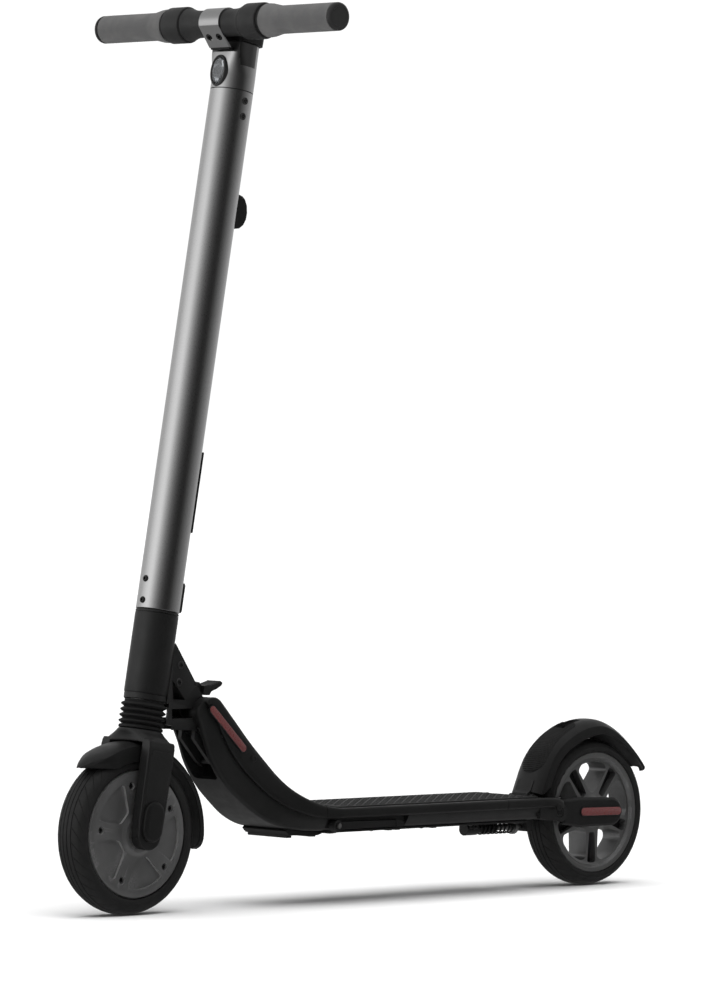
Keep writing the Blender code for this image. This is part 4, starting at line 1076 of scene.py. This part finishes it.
def build_head():
    """Head: round tube that squares up to a sharp lip, with the lamp in it and the bar clamp on it."""
    rings = [head_ring(STEM_TOP + 0.5, HEAD_R, HEAD_R, 2), head_ring(SQUARE_FROM, HEAD_R, HEAD_R, 2)]
    for t in (0.15, 0.3, 0.45, 0.6, 0.75, 0.88, 1):
        rings.append(head_ring(lerp(SQUARE_FROM, HEAD_LIP, t), lerp(HEAD_R, 25.4, t), lerp(HEAD_R, 26, t),
                               lerp(2, 4.6, t ** 1.5)))
    rings.append(head_ring(BLOCK_TOP, HEAD_R, 25.8, 4.8))
    head = loft(rings, STEM)
    cut(head, box(LIP_BACK, 60, -40, 40, HEAD_LIP, 1010, STEM))
    lens = STEM @ at(0, 0, LAMP_S) @ ALONG_X

    def ovals(sizes, n=64):
        return [ellipse(a, b, h, n) for a, b, h in sizes]

    cut(head, loft(ovals(((20.2, 13.9, 15), (20.2, 13.9, 70))), lens))
    obj = finish("stem_head_cast", head, "steering", HEAD_SILVER, stands_for="stem_head", bevel=0.7,
                 sharp=30)
    # The flat sides and the front of the block above the lip take a darker copy of the silver as painted
    # shade.
    obj.data.materials.append(HEAD_SIDE_PAINTED_SHADE)
    inward = STEM.inverted()
    for face in obj.data.polygons:
        c = inward @ (face.center / MM)
        if abs(face.normal.y) > 0.93 and c.z > 962 or c.z > HEAD_LIP + 0.5 and face.normal.x > 0.5:
            face.material_index = 1            # flat sides and the block above the lip: darker copy of the silver, painted shade
    bezel = loft(ovals(((20.1, 13.7, 16), (20.1, 13.7, 27.2), (19.4, 13, 28.6), (18, 11.6, 29),
                        (17, 10.6, 28.2), (16.8, 10.4, 16))), lens, closed=True)
    finish("headlight_bezel", bezel, "steering", GUNMETAL, slot="black_metal", sharp=26)
    bowl = ovals(((16.7, 10.3, 26.6), (16, 9.6, 25.6), (12.4, 7, 22.6), (6, 4.2, 21),
                  (0.5, 0.4, 20.8),
                  (0.5, 0.4, 20), (16.7, 10.3, 20)), 96)
    for ring in bowl[1:4]:                     # flutes of the reflector
        ring[:] = [(u, v, h + 0.35 * cos(v * 2 * pi / 1.7)) for u, v, h in ring]
    mirror = steel("headlight_mirror", 0.36, (0.10, 0.16))
    finish("headlight_bowl", loft(bowl, lens, closed=True), "steering", mirror, slot="silver_metal",
           sharp=50)
    finish("headlight_emitter", box(-2.6, 2.6, -2.6, 2.6, 21, 22.3, lens), "steering",
           LOOKS["grip_rubber"],
           slot="lens", bevel=0.3)
    glass = ovals(((16.6, 10.2, 26.9), (16.6, 10.2, 27.8), (15.6, 9.4, 28.9), (12, 7, 30),
                   (6, 3.6, 30.7), (0.5, 0.3, 30.9)))
    finish("headlight_glass", loft(glass, lens), "steering", stands_for="headlight_lens", sharp=60)
    build_clamp()


def build_clamp():
    """Curved plate over the front of the bar, with a tongue down to the head and two screws."""
    outer_r, inner_r, half = 19, 17.4, 17.8
    foot, back = (31.3, 980.9), (27, 981.4)
    front = arc(BAR_U, BAR_S, outer_r, 100, -24, 30)
    outline = front + [foot, back] + arc(BAR_U, BAR_S, inner_r, -64, 100, 34)
    plate = prism(outline, -half, half, STEM)
    start = front[-1]
    slope = math.degrees(atan2(start[0] - foot[0], start[1] - foot[1]))
    u, s = lerp(start[0], foot[0], 0.52), lerp(start[1], foot[1], 0.52)
    for i, y in enumerate((-8.8, 8.8)):
        seat = STEM @ at(u, y, s) @ turn(90 + slope, "Y")
        cut(plate, rod(4.9, -2.8, 8, 36, seat))
        screw(f"clamp_screw_{i + 1}", seat @ at(0, 0, -2.4), 4.4, "steering", height=2.6, hexagon=0.5)
    finish("bar_clamp_plate", plate, "steering", HEAD_SILVER, stands_for="bar_clamp", bevel=0.6, sharp=40)
    seal = prism([(23, 979.2), (30, 979), (31.5, 982), (24, 984)], -16.5, 16.5, STEM)
    finish("clamp_gap_seal", seal, "steering", slot="black_plastic", bevel=0.3)


# ---- handlebar, collars, grips
def build_bar():
    bar_r, collar_bore, grip_end = 12.6, 13, 209
    sleeve = [(0, -grip_end), (bar_r, -grip_end), (bar_r, -88)]
    flare = [(20.2, -53.2), (20.6, -52.4), (20.6, -50.6), (19.9, -48.8), (18.6, -45), (17.6, -40),
             (17.1, -34), (17, -28)]
    profile = both_ways(sleeve + [(bar_r, -53.9), (19.8, -53.9)] + flare)
    finish("handlebar_sleeve", lathe(profile, 96, BAR), "steering", COLLAR_BLACK, stands_for="handlebar",
           sharp=35)
    for side, tag in SIDES:
        flip = BAR if side > 0 else BAR @ Matrix.Scale(-1, 4, (0, 0, 1))
        r = span("control_collar_" + tag, BAR)[1].x
        collar = [(collar_bore, 54.2), (r - 1.8, 54.2), (r - 0.6, 54.8), (r, 56.2), (r, 82.2),
                  (r - 0.5, 83.8), (r - 1.6, 84.5), (collar_bore, 84.5)]
        finish("control_collar_shell_" + tag, lathe(collar, 112, flip), "steering", COLLAR_BLACK,
               stands_for="control_collar_" + tag, sharp=30)
        grip_profile(tag, flip)
        cap = [(0, 209.4), (17.3, 209.4), (17.5, 209.8), (17.5, 211.6), (17, 213.2), (15.8, 214.4),
               (14.2, BAR_HALF - 0.1), (12.6, BAR_HALF - 0.1), (12.2, BAR_HALF - 0.6), (0, BAR_HALF - 0.6)]
        finish("bar_end_plug_" + tag, lathe(cap, 96, flip), "steering", COLLAR_BLACK,
               stands_for="bar_end_cap_" + tag, sharp=30)


def grip_profile(tag, flip):
    """A grip with a smooth cone and a fine crossed knurl standing in the mesh."""
    around, starts, rows, bore = 200, 50, 168, 13
    plain = [(bore, 89.4), (20.4, 89.4), (21, 90.2), (21, 93), (20.6, 98), (19.2, 105),
             (18, 111), (17.55, 114.5)]
    rough = [(17.25, lerp(115, 206, i / rows)) for i in range(rows + 1)]
    end = [(17.5, 206.6), (17.5, 207.4), (17, 208), (bore, 208)]
    rings = [circle(r, h, around) for r, h in plain]
    for r, h in rough:
        ring = []
        for a in angles(around):
            u, v = starts * a, 2 * pi * h / 2.2
            lift = 0.2 * max(cos(u + v), cos(u - v)) + 0.14
            ring.append(((r + lift) * cos(a), (r + lift) * sin(a), h))
        rings.append(ring)
    rings += [circle(r, h, around) for r, h in end + [(bore - 0.05, 150)]]
    finish("grip_knurled_" + tag, loft(rings, flip, closed=True), "steering", stands_for="grip_" + tag,
           sharp=50)


# Nodes that keep their CAD shape: bevel width and segments of their rounded edges.
REFINED = {
    "steerer_tube": (0.3, 2), "battery_pack": (0.5, 2), "battery_connector_cover": (0.8, 3),
    "charge_port": (0.8, 3), "charge_port_flap": (0.8, 3), "stem_hook": (0.8, 3),
    "display_housing": (1.6, 4), "display_window": (0.4, 2), "power_button": (0.8, 3),
    "brake_lever": (0.8, 3), "throttle_lever": (0.8, 3), "fold_bracket": (0.9, 3),
    "fold_pedal": (0.7, 2), "fold_pivot_pin": (0.5, 2), "deck_bottom_cover": (0.9, 2),
    "control_unit": (0.6, 2), "kickstand": (1.3, 3), "kickstand_pivot_pin": (0.5, 2),
    "rear_arm": (1, 3), "rear_arm_pivot_pin": (0.6, 2), "rear_arm_cover_left": (1.8, 4),
    "rear_arm_cover_right": (1.8, 4), "fender_hinge_pin": (0.4, 2), "rear_shock_rod": (0.4, 2),
    "front_axle": (0.4, 2), "rear_axle": (0.4, 2)}

build_stem()
build_bellows()
build_head()
build_bar()
build_fold()
build_frame()
build_trims()
build_reflectors()
build_mat()
build_underside()
build_rear_arm()
build_rear_fender()
build_foot_pad()
build_front_wheel()
build_rear_wheel()
build_fork()
build_front_fender()
for node, (bevel, segments) in REFINED.items():
    refine(node, bevel, segments)
refine("rear_shock_body", 0.6, look=BLACK_STEEL)


# ---- floor, backdrop, light and camera
FLOOR_HALF, BACKDROP_R, SURROUND_R = 60, 50, 6
# How bright the studio looks in reflections, round the set: (azimuth in degrees, strength).
STUDIO = [(-180, 0.55), (-135, 0.75), (-100, 0.62), (-65, 0.60), (-34, 1.10), (-9, 1.36), (14, 0.58),
          (35, 0.20), (56, 0.06), (77, 0.02), (100, 0.02), (125, 0.16), (156, 0.36), (180, 0.55)]


def studio_strength(azimuth):
    for (a0, s0), (a1, s1) in zip(STUDIO, STUDIO[1:]):
        if a0 <= azimuth <= a1:
            return lerp(s0, s1, (azimuth - a0) / (a1 - a0))
    return STUDIO[0][1]


def glowing(name, verts, faces, strengths, camera, glossy):
    """A card that gives off the strength stored at each corner, seen only by the rays named."""
    obj = bpy.data.objects.new(name, bpy.data.meshes.new(name))
    obj.data.from_pydata(verts, [], faces)
    glow = obj.data.attributes.new("glow", "FLOAT", "POINT")
    glow.data.foreach_set("value", strengths)
    material = bpy.data.materials.new(name)
    material.use_nodes = True
    nodes, links = material.node_tree.nodes, material.node_tree.links
    nodes.remove(nodes["Principled BSDF"])
    emission = nodes.new("ShaderNodeEmission")
    level = nodes.new("ShaderNodeAttribute")
    level.attribute_name = "glow"
    links.new(level.outputs["Fac"], emission.inputs["Strength"])
    links.new(emission.outputs[0], nodes["Material Output"].inputs["Surface"])
    obj.data.materials.append(material)
    bpy.context.scene.collection.objects.link(obj)
    obj.visible_camera, obj.visible_glossy = camera, glossy
    obj.visible_diffuse = obj.visible_shadow = obj.visible_transmission = obj.visible_volume_scatter = False
    return obj


def wall(name, radius, levels, camera, glossy):
    """A round wall of 120 cards; levels lists (height, factor of the studio strength or a number)."""
    count, verts, strengths, faces = 120, [], [], []
    for height, strength in levels:
        for i in range(count):
            azimuth = -180 + 360 * i / count
            a = radians(azimuth)
            verts.append((radius * cos(a), radius * sin(a), height))
            strengths.append(strength if camera else strength * studio_strength(azimuth))
    for k in range(len(levels) - 1):
        for i in range(count):
            j = (i + 1) % count
            faces.append((k * count + i, k * count + j, (k + 1) * count + j, (k + 1) * count + i))
    if glossy:
        verts.append((0, 0, levels[-1][0]))
        strengths.append(0.5)
        top = (len(levels) - 1) * count
        faces += [(top + i, top + (i + 1) % count, len(verts) - 1) for i in range(count)]
    return glowing(name, verts, faces, strengths, camera, glossy)


def build_stage():
    floor = bpy.data.objects.new("floor", bpy.data.meshes.new("floor"))
    f = FLOOR_HALF
    floor.data.from_pydata([(-f, -f, 0), (f, -f, 0), (f, f, 0), (-f, f, 0)], [], [(0, 1, 2, 3)])
    bpy.context.scene.collection.objects.link(floor)
    g = Graph("pale_floor")
    g.put(g.shader, "Base Color", g.mix(g.ramp(g.noise(3, 2), 0.3, 0.7), rgb(0.86), rgb(0.9)))
    g.put(g.shader, "Roughness", g.ramp(g.noise(9, 2), 0.3, 0.7, 0.6, 0.7))
    g.shader.inputs["Specular IOR Level"].default_value = 0
    floor.data.materials.append(g.material)
    floor.visible_glossy = False

    world = bpy.data.worlds.new("studio")
    world.use_nodes = True
    world.node_tree.nodes["Background"].inputs["Color"].default_value = (1, 1, 1, 1)
    world.node_tree.nodes["Background"].inputs["Strength"].default_value = 0.28
    bpy.context.scene.world = world

    light = bpy.data.lights.new("overhead_soft", "SUN")
    light.energy, light.angle = 3.4, radians(70)
    sun = bpy.data.objects.new("overhead_soft", light)
    sun.rotation_euler = (radians(-8), radians(6), 0)
    sun.visible_glossy = False
    bpy.context.scene.collection.objects.link(sun)

    wall("backdrop", BACKDROP_R, ((-1, 1.05), (80, 1.05)), camera=True, glossy=False)
    wall("surround", SURROUND_R, ((-2.5, 0.25), (-0.5, 0.5), (0.3, 1), (2.6, 1), (4.2, 0.6)),
         camera=False, glossy=True)


def build_camera():
    camera = bpy.data.cameras.new("camera")
    camera.sensor_width, camera.lens = 36, 206.95
    camera.clip_start, camera.clip_end = 0.1, 200
    obj = bpy.data.objects.new("camera", camera)
    yaw, pitch, roll = (radians(a) for a in (-134.458, -0.767, 0.816))
    ahead = Vector((cos(pitch) * cos(yaw), cos(pitch) * sin(yaw), sin(pitch)))
    right = ahead.cross(Vector((0, 0, 1))).normalized()
    up = right.cross(ahead)
    tilted_right = right * cos(roll) + up * sin(roll)
    tilted_up = up * cos(roll) - right * sin(roll)
    obj.matrix_world = Matrix.Translation((5.1643, 5.2415, 0.6060)) @ Matrix(
        (tilted_right, tilted_up, -ahead)).transposed().to_4x4()
    bpy.context.scene.collection.objects.link(obj)
    bpy.context.scene.camera = obj


build_stage()
build_camera()
view = bpy.context.scene.view_settings
view.view_transform, view.look, view.exposure, view.gamma = "Standard", "None", 0, 1
